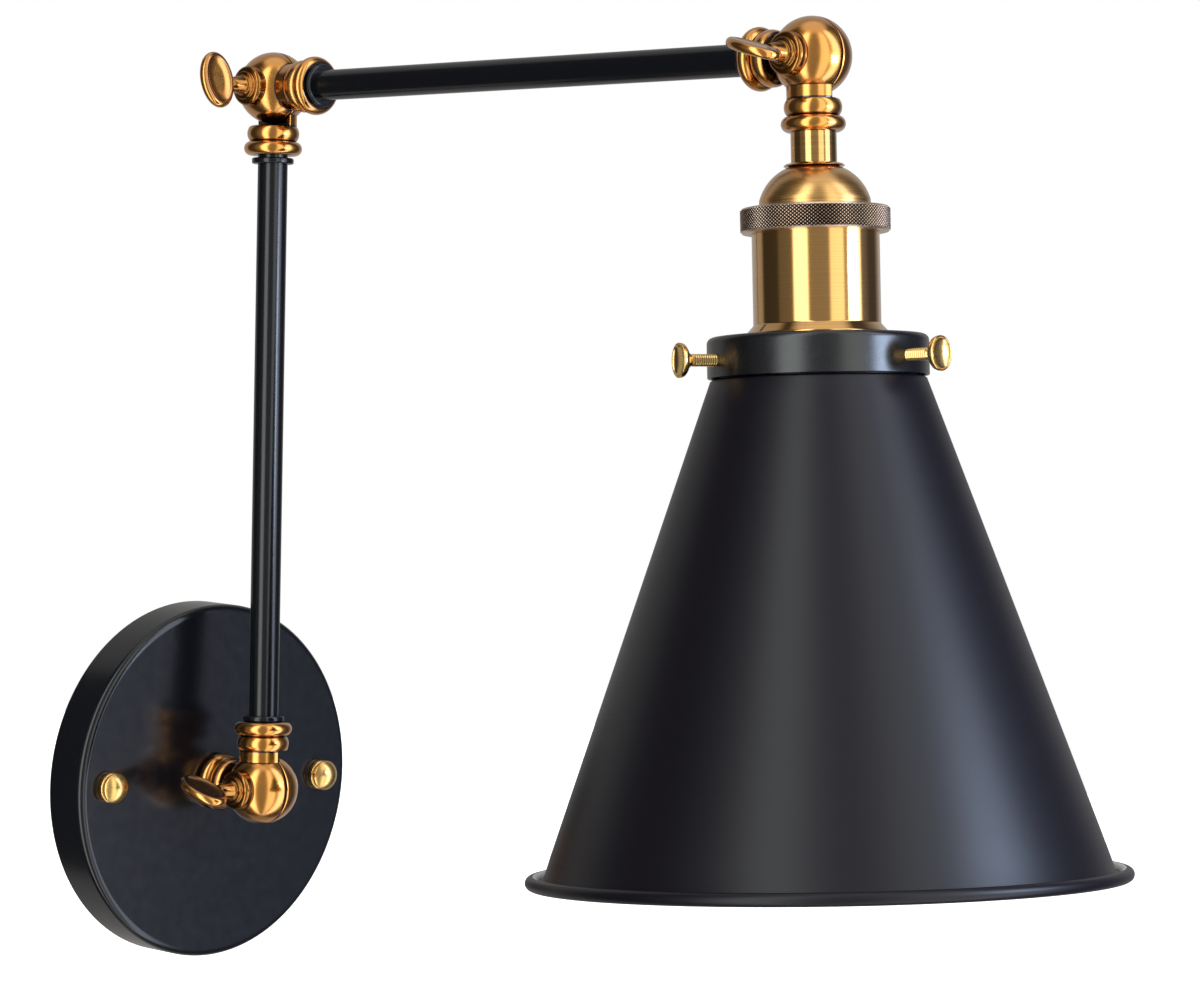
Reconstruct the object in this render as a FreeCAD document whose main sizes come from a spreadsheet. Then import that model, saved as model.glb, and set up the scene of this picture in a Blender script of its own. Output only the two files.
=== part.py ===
import FreeCAD, Part
import math
import os
from types import SimpleNamespace

import Sketcher
from FreeCAD import Placement, Rotation, Vector

# Swing arm wall lamp, in millimetres. The wall is the plane Y = 0, +Z is up and the lamp reaches out along
# -Y. The origin is the middle of the wall plate, on the wall. Every knuckle turns about an axis along X.

doc = FreeCAD.newDocument("swing_arm_wall_lamp")
sheet = doc.addObject("Spreadsheet::Sheet", "sizes")

DRIVING_SIZES = (
    # how the lamp stands: lengths between ball centres, and angles in degrees
    ("arm_length", 235),
    ("lower_arm_lean", 2.6),
    ("upper_arm_rise", 2.4),
    ("shade_tilt", 5.5),
    ("lower_wing_turn", 21),
    ("elbow_wing_turn", 75),
    ("head_wing_turn", 14),
    ("thumbscrew_turn", 86.8),
    # fits
    ("thread_clearance", 0.05),
    ("hole_clearance", 0.15),
    ("seat_gap", 0.2),
    ("loose_gap", 0.3),
    # wall plate and what fixes it
    ("plate_diameter", 120),
    ("plate_depth", 16),
    ("plate_wall", 1.2),
    ("plate_edge_radius", 2.5),
    ("stud_inset", 12.5),
    ("stud_diameter", 4),
    ("bracket_end_margin", 7.5),
    ("bracket_width", 18),
    ("bracket_thickness", 1.6),
    ("fixing_inset", 12.5),
    ("fixing_slot_length", 14),
    ("fixing_slot_width", 4.6),
    ("stud_grip", 4.4),
    ("stud_nut_across", 7.6),
    ("stud_nut_thickness", 3.2),
    ("cap_nut_diameter", 10.4),
    ("cap_nut_base", 1.9),
    ("cap_nut_groove", 0.8),
    ("cap_nut_groove_depth", 0.9),
    ("cap_nut_head", 0.6),
    ("cap_nut_dome", 2.8),
    ("earth_screw_diameter", 3.6),
    ("earth_screw_head", 7),
    ("earth_screw_head_height", 2.2),
    ("earth_screw_slot", 0.9),
    # threaded nipples, their nuts, and the tubes, which have the same thread
    ("tube_diameter", 10),
    ("tube_wall", 1),
    ("thread_grip", 8),
    ("nipple_bore", 7),
    ("nipple_spare", 2),
    ("nipple_nut_across", 16),
    ("nipple_nut_thickness", 3.5),
    ("lamp_nut_across", 14.4),
    ("tooth_washer_diameter", 18),
    ("tooth_washer_thickness", 0.8),
    ("lock_ring_diameter", 14),
    ("lock_ring_thickness", 2),
    ("lock_ring_round", 0.5),
    ("elbow_ring_gap", 0.8),
    # ball knuckles
    ("ball_diameter", 24),
    ("ball_wall", 3),
    ("seam_gap", 0.4),
    ("hub_diameter", 8.6),
    ("neck_diameter", 15.7),
    ("wire_passage", 6),
    ("collar_gap", 0.7),
    ("collar_core_diameter", 15.4),
    ("small_bead_height", 1),
    ("small_bead_thickness", 5.2),
    ("large_bead_height", 2),
    ("large_bead_thickness", 4.7),
    # wing screws
    ("wing_screw_diameter", 5),
    ("wing_screw_end_wall", 3.6),
    ("boss_diameter", 13.2),
    ("boss_seat_margin", 0.2),
    ("boss_height", 3.4),
    ("boss_round", 1.4),
    ("boss_ring_step", 0.6),
    ("boss_ring_height", 1),
    ("wing_neck_diameter", 6.2),
    ("wing_neck_taper", 1),
    ("wing_neck_length", 4.4),
    ("wing_root_diameter", 4.2),
    ("wing_root_length", 1.4),
    ("wing_span", 19),
    ("wing_offset", 1),
    ("wing_depth", 13.6),
    ("wing_thickness", 3.2),
    ("wing_rim_bulge", 7),
    ("wing_rim_width", 1.8),
    ("wing_dish", 0.6),
    # stem and lampholder, stacked down from the head knuckle
    ("sleeve_diameter", 13.7),
    ("sleeve_length", 9.3),
    ("sleeve_washer_diameter", 18.4),
    ("sleeve_washer_thickness", 1),
    ("cap_top_diameter", 14.8),
    ("cap_crown_height", 10.1),
    ("cap_crown_radius", 14.8),
    ("cap_height", 15.3),
    ("cap_wall", 0.9),
    ("cap_flange_reach", 2.4),
    ("cap_flange_thickness", 1.2),
    ("knurled_ring_wall", 3.4),
    ("knurled_ring_height", 7.4),
    ("knurled_ring_lip", 1.8),
    ("knurled_ring_chamfer", 0.6),
    ("shell_diameter", 38),
    ("shell_wall", 0.8),
    ("shell_length", 33.1),
    ("foot_reach", 2.3),
    ("foot_flare", 2.4),
    ("foot_edge", 1),
    ("liner_flange", 2),
    ("core_top", 11.8),
    ("liner_skirt", 10.2),
    ("terminal_spacing", 19),
    ("terminal_screw_diameter", 3.2),
    ("terminal_screw_length", 7),
    ("terminal_head_diameter", 6),
    ("terminal_head_height", 2),
    ("terminal_slot", 0.8),
    ("lamp_thread_diameter", 26.2),
    ("screw_shell_wall", 0.6),
    ("screw_shell_short", 1),
    ("screw_shell_lip", 1),
    ("contact_diameter", 9),
    ("contact_gap", 1.5),
    ("contact_thickness", 0.8),
    ("contact_dome_diameter", 5.2),
    ("contact_depth", 0.2),
    # shade, its fitter and what holds them
    ("fitter_diameter", 66),
    ("fitter_wall", 1.2),
    ("fitter_height", 12.2),
    ("fitter_shoulder", 2.4),
    ("shade_ring_wall", 5.4),
    ("shade_ring_height", 3.6),
    ("thumbscrew_height", 7.2),
    ("thumbscrew_diameter", 3.8),
    ("thumbscrew_stand_off", 9.3),
    ("thumbscrew_root", 1.6),
    ("thumbscrew_root_diameter", 6.4),
    ("thumb_head_diameter", 10.4),
    ("thumb_head_thickness", 2.4),
    ("thumb_head_round", 0.4),
    ("thumb_dish", 1.4),
    ("shade_lip_clearance", 0.8),
    ("shade_lip_reach", 1.6),
    ("shade_lip", 1.2),
    ("shade_wall", 0.8),
    ("shade_top_step", 1),
    ("shade_top_round", 0.6),
    ("shade_mouth_diameter", 170),
    ("shade_height", 147.8),
    ("rim_reach", 5),
    ("rim_bead", 4),
    ("rim_flange", 1),
)


class Size:
    """A length in millimetres or an angle in degrees, with the sheet formula that gives it."""

    def __init__(self, value, formula):
        self.value = value
        self.formula = formula

    def __add__(self, other):
        other = as_size(other)
        return Size(self.value + other.value, f"({self.formula} + {other.formula})")

    def __sub__(self, other):
        other = as_size(other)
        return Size(self.value - other.value, f"({self.formula} - {other.formula})")

    def __mul__(self, other):
        other = as_size(other)
        return Size(self.value * other.value, f"({self.formula} * {other.formula})")

    def __truediv__(self, other):
        other = as_size(other)
        return Size(self.value / other.value, f"({self.formula} / {other.formula})")

    def __neg__(self):
        return Size(-self.value, f"(0 - {self.formula})")

    def __rsub__(self, other):
        return as_size(other) - self

    __radd__ = __add__
    __rmul__ = __mul__


def as_size(number):
    return number if isinstance(number, Size) else Size(number, f"{number}")


def sine(angle):
    return Size(math.sin(math.radians(angle.value)), f"sin({angle.formula})")


def cosine(angle):
    return Size(math.cos(math.radians(angle.value)), f"cos({angle.formula})")


def root(square):
    return Size(math.sqrt(square.value), f"sqrt({square.formula})")


size = SimpleNamespace()
for row, (alias, number) in enumerate(DRIVING_SIZES, start=1):
    sheet.set(f"A{row}", alias)
    sheet.set(f"B{row}", str(number))
    sheet.setAlias(f"B{row}", alias)
    setattr(size, alias, Size(float(number), f"sizes.{alias}"))
doc.recompute()


def bind(piece, **properties):
    """Ties a piece's properties to the sheet."""
    for name, amount in properties.items():
        piece.setExpression(name, as_size(amount).formula)


def move(piece, **distances):
    """Ties a piece's place along x, y or z to the sheet."""
    for axis, distance in distances.items():
        piece.setExpression(f"Placement.Base.{axis}", as_size(distance).formula)
    return piece


def cylinder(radius, height, start=0):
    """A rod along Z."""
    piece = doc.addObject("Part::Cylinder", "rod")
    bind(piece, Radius=radius, Height=height)
    return move(piece, z=start)


def cross_rod(radius, height, start=0):
    """A rod along X."""
    piece = doc.addObject("Part::Cylinder", "cross_rod")
    bind(piece, Radius=radius, Height=height)
    piece.Placement = Placement(Vector(), Rotation(Vector(0, 1, 0), 90))
    return move(piece, x=start)


def sphere(radius):
    piece = doc.addObject("Part::Sphere", "ball")
    bind(piece, Radius=radius)
    return piece


def torus(middle_radius, round_radius, height):
    """A ring about Z with a round section."""
    piece = doc.addObject("Part::Torus", "ring")
    bind(piece, Radius1=middle_radius, Radius2=round_radius)
    return move(piece, z=height)


def box(length, width, height, x, y, z):
    """A block that starts at x, y, z."""
    piece = doc.addObject("Part::Box", "block")
    bind(piece, Length=length, Width=width, Height=height)
    return move(piece, x=x, y=y, z=z)


def ellipsoid(across_x, across_y, across_z):
    """An ellipsoid given by its three diameters."""
    piece = doc.addObject("Part::Ellipsoid", "oval")
    bind(piece, Radius2=across_x / 2, Radius3=across_y / 2, Radius1=across_z / 2)
    return piece


def hexagon(across_corners, height, start):
    piece = doc.addObject("Part::Prism", "hexagon")
    piece.Polygon = 6
    bind(piece, Circumradius=across_corners / 2, Height=height)
    return move(piece, z=start)


def fuse(*pieces):
    piece = doc.addObject("Part::MultiFuse", "joined")
    piece.Shapes = list(pieces)
    return piece


def common(*pieces):
    piece = doc.addObject("Part::MultiCommon", "common")
    piece.Shapes = list(pieces)
    return piece


def cut(base, *tools):
    piece = doc.addObject("Part::Cut", "cut")
    piece.Base = base
    piece.Tool = tools[0] if len(tools) == 1 else fuse(*tools)
    return piece


def group(*pieces):
    """Separate solids kept together, or one solid given a place of its own."""
    piece = doc.addObject("Part::Compound", "group")
    piece.Links = list(pieces)
    return piece


def fix_corner(sketch, edge, end, corner):
    """Ties one end of an edge to its distances from the sketch's axes."""
    for kind, axis, distance in zip(("DistanceX", "DistanceY"), (-2, -1), corner):
        distance = as_size(distance)
        if distance.value == 0:
            sketch.addConstraint(Sketcher.Constraint("PointOnObject", edge, end, axis))
            continue
        index = sketch.addConstraint(Sketcher.Constraint(kind, -1, 1, edge, end, distance.value))
        sketch.setExpression(f"Constraints[{index}]", distance.formula)


def arc_between(first, last, radius):
    """The shorter arc from first to last, which are given the way round that the arc turns left."""
    chord = last - first
    middle = (first + last) / 2
    height = math.sqrt(max(radius**2 - chord.Length**2 / 4, 0))
    centre = middle + Vector(-chord.y, chord.x, 0).normalize() * height
    circle = Part.Circle(centre, Vector(0, 0, 1), radius)
    return Part.ArcOfCircle(circle, circle.parameter(first), circle.parameter(last))


def turned(outline):
    """A turned piece: an outline of (radius, height) corners, spun about Z.

    A third number in a corner is the radius of the arc that leads to the next corner, which turns left, or
    right where the number is below zero.
    """
    body = doc.addObject("PartDesign::Body", "turned")
    sketch = body.newObject("Sketcher::SketchObject", "outline")
    plane = next(f for f in body.Origin.OriginFeatures if f.Role == "XZ_Plane")
    sketch.AttachmentSupport = [(plane, "")]
    sketch.MapMode = "FlatFace"
    starts = []
    for corner, following in zip(outline, outline[1:] + outline[:1]):
        here, there = (Vector(as_size(c[0]).value, as_size(c[1]).value, 0) for c in (corner, following))
        bend = corner[2] if len(corner) == 3 else None
        if bend is None:
            edge = sketch.addGeometry(Part.LineSegment(here, there))
            starts.append((edge, 1, 2))
            continue
        left = bend.value > 0
        arc = arc_between(here, there, bend.value) if left else arc_between(there, here, -bend.value)
        edge = sketch.addGeometry(arc)
        starts.append((edge, 1, 2) if left else (edge, 2, 1))
        radius = bend if left else -bend
        index = sketch.addConstraint(Sketcher.Constraint("Radius", edge, radius.value))
        sketch.setExpression(f"Constraints[{index}]", radius.formula)
    for corner, before, after in zip(outline, starts[-1:] + starts[:-1], starts):
        sketch.addConstraint(Sketcher.Constraint("Coincident", before[0], before[2], after[0], after[1]))
        fix_corner(sketch, after[0], after[1], corner)
    spin = body.newObject("PartDesign::Revolution", "spin")
    spin.Profile = sketch
    spin.ReferenceAxis = (sketch, ["V_Axis"])
    spin.Angle = 360
    body.Tip = spin
    return body


def pipe(outside, inside, length, start=0):
    """A turned tube along Z, given by its two diameters."""
    end = start + length
    return turned([(inside / 2, start), (outside / 2, start), (outside / 2, end), (inside / 2, end)])


sub_parts = []


def finish(name, piece, frame):
    """Names a sub-part and stands it in a frame: a point in the plane X = 0 and a turn about X."""
    y, z, turn = (as_size(amount) for amount in frame)
    piece.Label = name
    piece.Placement = Placement(Vector(0, y.value, z.value), Rotation(Vector(1, 0, 0), turn.value))
    move(piece, y=y, z=z)
    piece.setExpression("Placement.Rotation.Angle", turn.formula)
    sub_parts.append(piece)


# Frames. A knuckle half, a tube or the lamp lies along its frame's own Z, away from the ball's centre.
ball_radius = size.ball_diameter / 2
collar_start = ball_radius + size.collar_gap
large_bead_start = collar_start + size.small_bead_thickness
knuckle_reach = large_bead_start + size.large_bead_thickness
lower_y = -(size.plate_depth + knuckle_reach)
elbow_y = lower_y + size.arm_length * sine(size.lower_arm_lean)
elbow_z = size.arm_length * cosine(size.lower_arm_lean)
head_y = elbow_y - size.arm_length * cosine(size.upper_arm_rise)
head_z = elbow_z + size.arm_length * sine(size.upper_arm_rise)

wall_frame = (0, 0, 90)
lower_wall_frame = (lower_y, 0, -90)
lower_arm_frame = (lower_y, 0, -size.lower_arm_lean)
elbow_lower_frame = (elbow_y, elbow_z, 180 - size.lower_arm_lean)
upper_arm_frame = (elbow_y, elbow_z, 90 - size.upper_arm_rise)
head_arm_frame = (head_y, head_z, -90 - size.upper_arm_rise)
lamp_frame = (head_y, head_z, 180 - size.shade_tilt)

# Wall plate: a pressed cup, open to the wall, with holes for the nipple and the two studs.
plate_radius = size.plate_diameter / 2
plate_inside = size.plate_depth - size.plate_wall
nipple_hole = size.tube_diameter + 2 * size.hole_clearance
edge_start = plate_radius - size.plate_edge_radius
edge_height = size.plate_depth - size.plate_edge_radius
plate_cup = turned(
    [
        (plate_radius, 0),
        (plate_radius, edge_height, size.plate_edge_radius),
        (edge_start, size.plate_depth),
        (nipple_hole / 2, size.plate_depth),
        (nipple_hole / 2, plate_inside),
        (edge_start, plate_inside, size.plate_wall - size.plate_edge_radius),
        (plate_radius - size.plate_wall, edge_height),
        (plate_radius - size.plate_wall, 0),
    ]
)
stud_place = plate_radius - size.stud_inset
stud_places = (-stud_place, stud_place)
stud_hole = size.stud_diameter / 2 + size.hole_clearance
stud_holes = [move(cylinder(stud_hole, size.plate_depth), x=place) for place in stud_places]
finish("wall_plate", cut(plate_cup, *stud_holes), wall_frame)

# Mounting bracket: a flat bar with round ends, screwed to the wall through its two slots.
bar_width = size.bracket_width
bar_thickness = size.bracket_thickness
bar_end = stud_place + size.bracket_end_margin - bar_width / 2
bar_ends = [move(cylinder(bar_width / 2, bar_thickness), x=end) for end in (-bar_end, bar_end)]
bar = fuse(box(2 * bar_end, bar_width, bar_thickness, -bar_end, -bar_width / 2, 0), *bar_ends)
stud_thread = size.stud_diameter / 2 + size.thread_clearance
bar_holes = [move(cylinder(stud_thread, bar_thickness), x=place) for place in stud_places]
slot_width = size.fixing_slot_width
slot_straight = size.fixing_slot_length - slot_width
slot_place = stud_place - size.fixing_inset
for middle in (-slot_place, slot_place):
    first_end = middle - slot_straight / 2
    last_end = middle + slot_straight / 2
    bar_holes.append(box(slot_straight, slot_width, bar_thickness, first_end, -slot_width / 2, 0))
    for end in (first_end, last_end):
        bar_holes.append(move(cylinder(slot_width / 2, bar_thickness), x=end))
earth_place = (size.nipple_bore / 2 + slot_place - size.fixing_slot_length / 2) / 2
earth_hole = cylinder(size.earth_screw_diameter / 2 + size.thread_clearance, bar_thickness)
bar_holes.append(move(earth_hole, x=earth_place))
bar_holes.append(cylinder(size.nipple_bore / 2, bar_thickness))
finish("mounting_bracket", cut(bar, *bar_holes), wall_frame)

# Studs: threaded rods in the bar, each locked by a nut, that come out through the plate.
stud_length = size.plate_depth + size.stud_grip
studs = [move(cylinder(size.stud_diameter / 2, stud_length), x=place) for place in stud_places]
finish("bracket_studs", group(*studs), wall_frame)

stud_nuts = []
for place in stud_places:
    nut = hexagon(size.stud_nut_across, size.stud_nut_thickness, bar_thickness)
    nut_bore = cylinder(stud_thread, size.stud_nut_thickness, bar_thickness)
    stud_nuts.append(cut(move(nut, x=place), move(nut_bore, x=place)))
finish("stud_nuts", group(*stud_nuts), wall_frame)

# Cap nuts: a base ring, a groove and a domed head, with a blind thread.
cap_nut_radius = size.cap_nut_diameter / 2
cap_nut_waist = cap_nut_radius - size.cap_nut_groove_depth
groove_start = size.plate_depth + size.cap_nut_base
head_start = groove_start + size.cap_nut_groove
dome_start = head_start + size.cap_nut_head
dome = size.cap_nut_dome
dome_radius = (cap_nut_radius * cap_nut_radius + dome * dome) / (2 * dome)
cap_nuts = []
for place in stud_places:
    cap_nut = turned(
        [
            (stud_thread, size.plate_depth),
            (cap_nut_radius, size.plate_depth),
            (cap_nut_radius, groove_start),
            (cap_nut_waist, groove_start),
            (cap_nut_waist, head_start),
            (cap_nut_radius, head_start),
            (cap_nut_radius, dome_start, dome_radius),
            (0, dome_start + dome),
            (0, stud_length + size.seat_gap),
            (stud_thread, stud_length + size.seat_gap),
        ]
    )
    cap_nuts.append(move(cap_nut, x=place))
finish("cap_nuts", group(*cap_nuts), wall_frame)

# Earth screw: a slotted pan-head screw in the bar.
earth_head_end = bar_thickness + size.earth_screw_head_height
earth_screw = turned(
    [
        (0, 0),
        (size.earth_screw_diameter / 2, 0),
        (size.earth_screw_diameter / 2, bar_thickness),
        (size.earth_screw_head / 2, bar_thickness),
        (size.earth_screw_head / 2, earth_head_end),
        (0, earth_head_end),
    ]
)
earth_slot = box(
    size.earth_screw_head,
    size.earth_screw_slot,
    size.earth_screw_slot,
    -size.earth_screw_head / 2,
    -size.earth_screw_slot / 2,
    earth_head_end - size.earth_screw_slot,
)
finish("earth_screw", group(move(cut(earth_screw, earth_slot), x=earth_place)), wall_frame)

# Stem nipple: screwed into the lower knuckle through the plate, and held inside by a washer and a nut.
washer_face = plate_inside - size.tooth_washer_thickness
nut_face = washer_face - size.nipple_nut_thickness
nipple_inner_end = nut_face - size.nipple_spare
nipple_length = size.plate_depth + size.thread_grip - size.seat_gap - nipple_inner_end
stem_nipple = pipe(size.tube_diameter, size.nipple_bore, nipple_length, nipple_inner_end)
finish("stem_nipple", stem_nipple, wall_frame)
tooth_washer = pipe(size.tooth_washer_diameter, nipple_hole, size.tooth_washer_thickness, washer_face)
finish("stem_tooth_washer", tooth_washer, wall_frame)


def nipple_nut(across, start):
    """A hexagon nut for the nipples."""
    bore = cylinder(size.tube_diameter / 2 + size.thread_clearance, size.nipple_nut_thickness, start)
    return cut(hexagon(across, size.nipple_nut_thickness, start), bore)


finish("stem_nut", nipple_nut(size.nipple_nut_across, nut_face), wall_frame)

# Knuckles: a ball split across its pivot axis. Each half has a half-round neck and a full-round collar with
# two beads, which takes a tube or a nipple. The wing screw passes the near half and threads into the other.
screw_radius = size.wing_screw_diameter / 2
boss_radius = size.boss_diameter / 2
seat_radius = boss_radius + size.boss_seat_margin
boss_seat = root(ball_radius * ball_radius - seat_radius * seat_radius)
bore_start = knuckle_reach - size.thread_grip
NEAR, FAR = -1, 1


def bead_radius(thickness, height):
    """The radius of the arc that makes a bead of this thickness stand out from the collar's core."""
    return (thickness * thickness / 4 + height * height) / (2 * height)


def knuckle_half(side):
    """One half: near is the -X side, with the seat for the wing screw's boss, and far the +X side."""
    whole_neck = cylinder(size.neck_diameter / 2, collar_start)
    half_space_start = size.seam_gap / 2 if side == FAR else -(size.ball_diameter + size.seam_gap / 2)
    half_space = box(
        size.ball_diameter,
        2 * size.ball_diameter,
        size.ball_diameter + collar_start,
        half_space_start,
        -size.ball_diameter,
        -size.ball_diameter,
    )
    half_ball = common(fuse(sphere(ball_radius), whole_neck), half_space)
    core_radius = size.collar_core_diameter / 2
    collar = turned(
        [
            (0, collar_start),
            (core_radius, collar_start, bead_radius(size.small_bead_thickness, size.small_bead_height)),
            (core_radius, large_bead_start, bead_radius(size.large_bead_thickness, size.large_bead_height)),
            (core_radius, knuckle_reach),
            (0, knuckle_reach),
        ]
    )
    hub = cross_rod(size.hub_diameter / 2, size.ball_diameter, -ball_radius)
    wire_chamber = cut(sphere(ball_radius - size.ball_wall), hub)
    tube_bore = cylinder(size.tube_diameter / 2 + size.thread_clearance, size.thread_grip, bore_start)
    wire_way = cylinder(size.wire_passage / 2, bore_start - size.hub_diameter / 2, size.hub_diameter / 2)
    hollows = [wire_chamber, tube_bore, wire_way]
    screw_hole = screw_radius + size.thread_clearance
    if side == FAR:
        hollows.append(cross_rod(screw_hole, ball_radius - size.wing_screw_end_wall))
    else:
        hollows.append(cross_rod(screw_hole, ball_radius, -ball_radius))
        hollows.append(cross_rod(seat_radius, ball_radius, -(boss_seat + ball_radius)))
    return cut(fuse(half_ball, collar), *hollows)


finish("lower_knuckle_wall_half", knuckle_half(FAR), lower_wall_frame)
finish("lower_knuckle_arm_half", knuckle_half(NEAR), lower_arm_frame)
finish("elbow_knuckle_lower_half", knuckle_half(FAR), elbow_lower_frame)
finish("elbow_knuckle_upper_half", knuckle_half(NEAR), upper_arm_frame)
finish("head_knuckle_arm_half", knuckle_half(FAR), head_arm_frame)
finish("head_knuckle_lamp_half", knuckle_half(NEAR), lamp_frame)


# Wing screws: a shank, a stepped boss that bears on the near half, a neck and an oval paddle with dished
# faces. The screw is made along Z, with its paddle's span along Y, and then laid along -X.
screw_end = ball_radius - size.wing_screw_end_wall - size.seat_gap
ring_start = boss_seat + size.boss_height
ring_radius = boss_radius - size.boss_round - size.boss_ring_step
neck_start = ring_start + size.boss_ring_height + size.wing_neck_taper
paddle_start = ring_start + size.boss_ring_height + size.wing_neck_length
paddle_middle = paddle_start + size.wing_depth / 2


def wing_screw():
    stem = turned(
        [
            (0, -screw_end),
            (screw_radius, -screw_end),
            (screw_radius, boss_seat),
            (boss_radius, boss_seat),
            (boss_radius, ring_start - size.boss_round, size.boss_round),
            (boss_radius - size.boss_round, ring_start),
            (ring_radius, ring_start),
            (ring_radius, ring_start + size.boss_ring_height),
            (size.wing_neck_diameter / 2, neck_start),
            (size.wing_root_diameter / 2, paddle_start + size.wing_root_length),
            (0, paddle_start + size.wing_root_length),
        ]
    )
    oval = ellipsoid(size.wing_rim_bulge, size.wing_span, size.wing_depth)
    face = size.wing_thickness / 2
    slab = box(2 * face, 2 * size.wing_span, 2 * size.wing_depth, -face, -size.wing_span, -size.wing_depth)
    dish_span = size.wing_span - 2 * size.wing_rim_width
    dish_depth = size.wing_depth - 2 * size.wing_rim_width
    dishes = [move(ellipsoid(2 * size.wing_dish, dish_span, dish_depth), x=side) for side in (-face, face)]
    paddle = move(cut(common(oval, slab), *dishes), y=size.wing_offset, z=paddle_middle)
    screw = group(fuse(stem, paddle))
    screw.Placement = Placement(Vector(), Rotation(Vector(0, 1, 0), -90))
    return group(screw)


# Friction washers: thin rings round the screw, between the two hubs.
def friction_washer():
    disc = cross_rod(size.hub_diameter / 2, size.seam_gap, -size.seam_gap / 2)
    return cut(disc, cross_rod(screw_radius + size.thread_clearance, size.seam_gap, -size.seam_gap / 2))


for knuckle, y, z, turn in (
    ("lower", lower_y, 0, size.lower_wing_turn),
    ("elbow", elbow_y, elbow_z, size.elbow_wing_turn),
    ("head", head_y, head_z, size.head_wing_turn),
):
    finish(f"{knuckle}_wing_screw", wing_screw(), (y, z, turn))
    finish(f"{knuckle}_friction_washer", friction_washer(), (y, z, 0))

# Arms: two like tubes, threaded at both ends, each with two lock rings. The one under the elbow stands off.
tube_start = bore_start + size.seat_gap
tube_length = size.arm_length - 2 * tube_start
tube_bore_diameter = size.tube_diameter - 2 * size.tube_wall


def lock_ring(start):
    radius = size.lock_ring_diameter / 2
    end = start + size.lock_ring_thickness
    bore = size.tube_diameter / 2 + size.thread_clearance
    return turned(
        [
            (bore, start),
            (radius - size.lock_ring_round, start, size.lock_ring_round),
            (radius, start + size.lock_ring_round),
            (radius, end - size.lock_ring_round, size.lock_ring_round),
            (radius - size.lock_ring_round, end),
            (bore, end),
        ]
    )


far_ring_start = size.arm_length - knuckle_reach - size.lock_ring_thickness
for arm, frame, stand_off in (
    ("lower_arm", lower_arm_frame, size.elbow_ring_gap),
    ("upper_arm", upper_arm_frame, as_size(0)),
):
    finish(f"{arm}_tube", pipe(size.tube_diameter, tube_bore_diameter, tube_length, tube_start), frame)
    rings = group(lock_ring(knuckle_reach), lock_ring(far_ring_start - stand_off))
    finish(f"{arm}_lock_rings", rings, frame)

# Stem: a nipple from the head knuckle into the lampholder, inside a sleeve that stands on a thin washer.
sleeve_end = knuckle_reach + size.sleeve_length
cap_start = sleeve_end + size.sleeve_washer_thickness
stem_sleeve = pipe(size.sleeve_diameter, nipple_hole, size.sleeve_length, knuckle_reach)
finish("stem_sleeve", stem_sleeve, lamp_frame)
sleeve_washer = pipe(size.sleeve_washer_diameter, nipple_hole, size.sleeve_washer_thickness, sleeve_end)
finish("sleeve_washer", sleeve_washer, lamp_frame)
lamp_nut_start = cap_start + size.cap_wall
lamp_nipple_end = lamp_nut_start + size.nipple_nut_thickness + size.nipple_spare
lamp_nipple = pipe(size.tube_diameter, size.nipple_bore, lamp_nipple_end - tube_start, tube_start)
finish("lamp_nipple", lamp_nipple, lamp_frame)
finish("lamp_nut", nipple_nut(size.lamp_nut_across, lamp_nut_start), lamp_frame)

# Lampholder cap: a spun dome on the nipple, with a skirt and a flange that the knurled ring draws down.
shell_radius = size.shell_diameter / 2
cap_radius = shell_radius - size.cap_flange_reach
flange_edge = shell_radius - size.hole_clearance
crown_end = cap_start + size.cap_crown_height
cap_end = cap_start + size.cap_height
flange_start = cap_end - size.cap_flange_thickness
lampholder_cap = turned(
    [
        (nipple_hole / 2, cap_start),
        (size.cap_top_diameter / 2, cap_start, size.cap_crown_radius),
        (cap_radius, crown_end),
        (cap_radius, flange_start),
        (flange_edge, flange_start),
        (flange_edge, cap_end),
        (cap_radius - size.cap_wall, cap_end),
        (cap_radius - size.cap_wall, crown_end, size.cap_wall - size.cap_crown_radius),
        (size.cap_top_diameter / 2, lamp_nut_start),
        (nipple_hole / 2, lamp_nut_start),
    ]
)
finish("lampholder_cap", lampholder_cap, lamp_frame)

# Knurled ring: its lip bears on the cap's flange and its thread holds the shell.
knurl_radius = shell_radius + size.knurled_ring_wall
knurl_start = flange_start - size.knurled_ring_lip
knurl_end = knurl_start + size.knurled_ring_height
knurl_edge = knurl_radius - size.knurled_ring_chamfer
ring_thread = shell_radius + size.thread_clearance
knurled_ring = turned(
    [
        (cap_radius + size.hole_clearance, knurl_start),
        (knurl_edge, knurl_start),
        (knurl_radius, knurl_start + size.knurled_ring_chamfer),
        (knurl_radius, knurl_end - size.knurled_ring_chamfer),
        (knurl_edge, knurl_end),
        (ring_thread, knurl_end),
        (ring_thread, flange_start),
        (cap_radius + size.hole_clearance, flange_start),
    ]
)
finish("knurled_ring", knurled_ring, lamp_frame)

# Lampholder shell: a brass tube with a flared foot, which stands on the shade fitter.
shell_start = cap_end + size.liner_flange
shell_end = shell_start + size.shell_length
shell_bore = shell_radius - size.shell_wall
foot_start = shell_end - size.foot_edge - size.foot_flare
foot_radius = shell_radius + size.foot_reach
lampholder_shell = turned(
    [
        (shell_bore, shell_start),
        (shell_radius, shell_start),
        (shell_radius, foot_start),
        (foot_radius, shell_end - size.foot_edge),
        (foot_radius, shell_end),
        (shell_bore, shell_end),
    ]
)
finish("lampholder_shell", lampholder_shell, lamp_frame)

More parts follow.
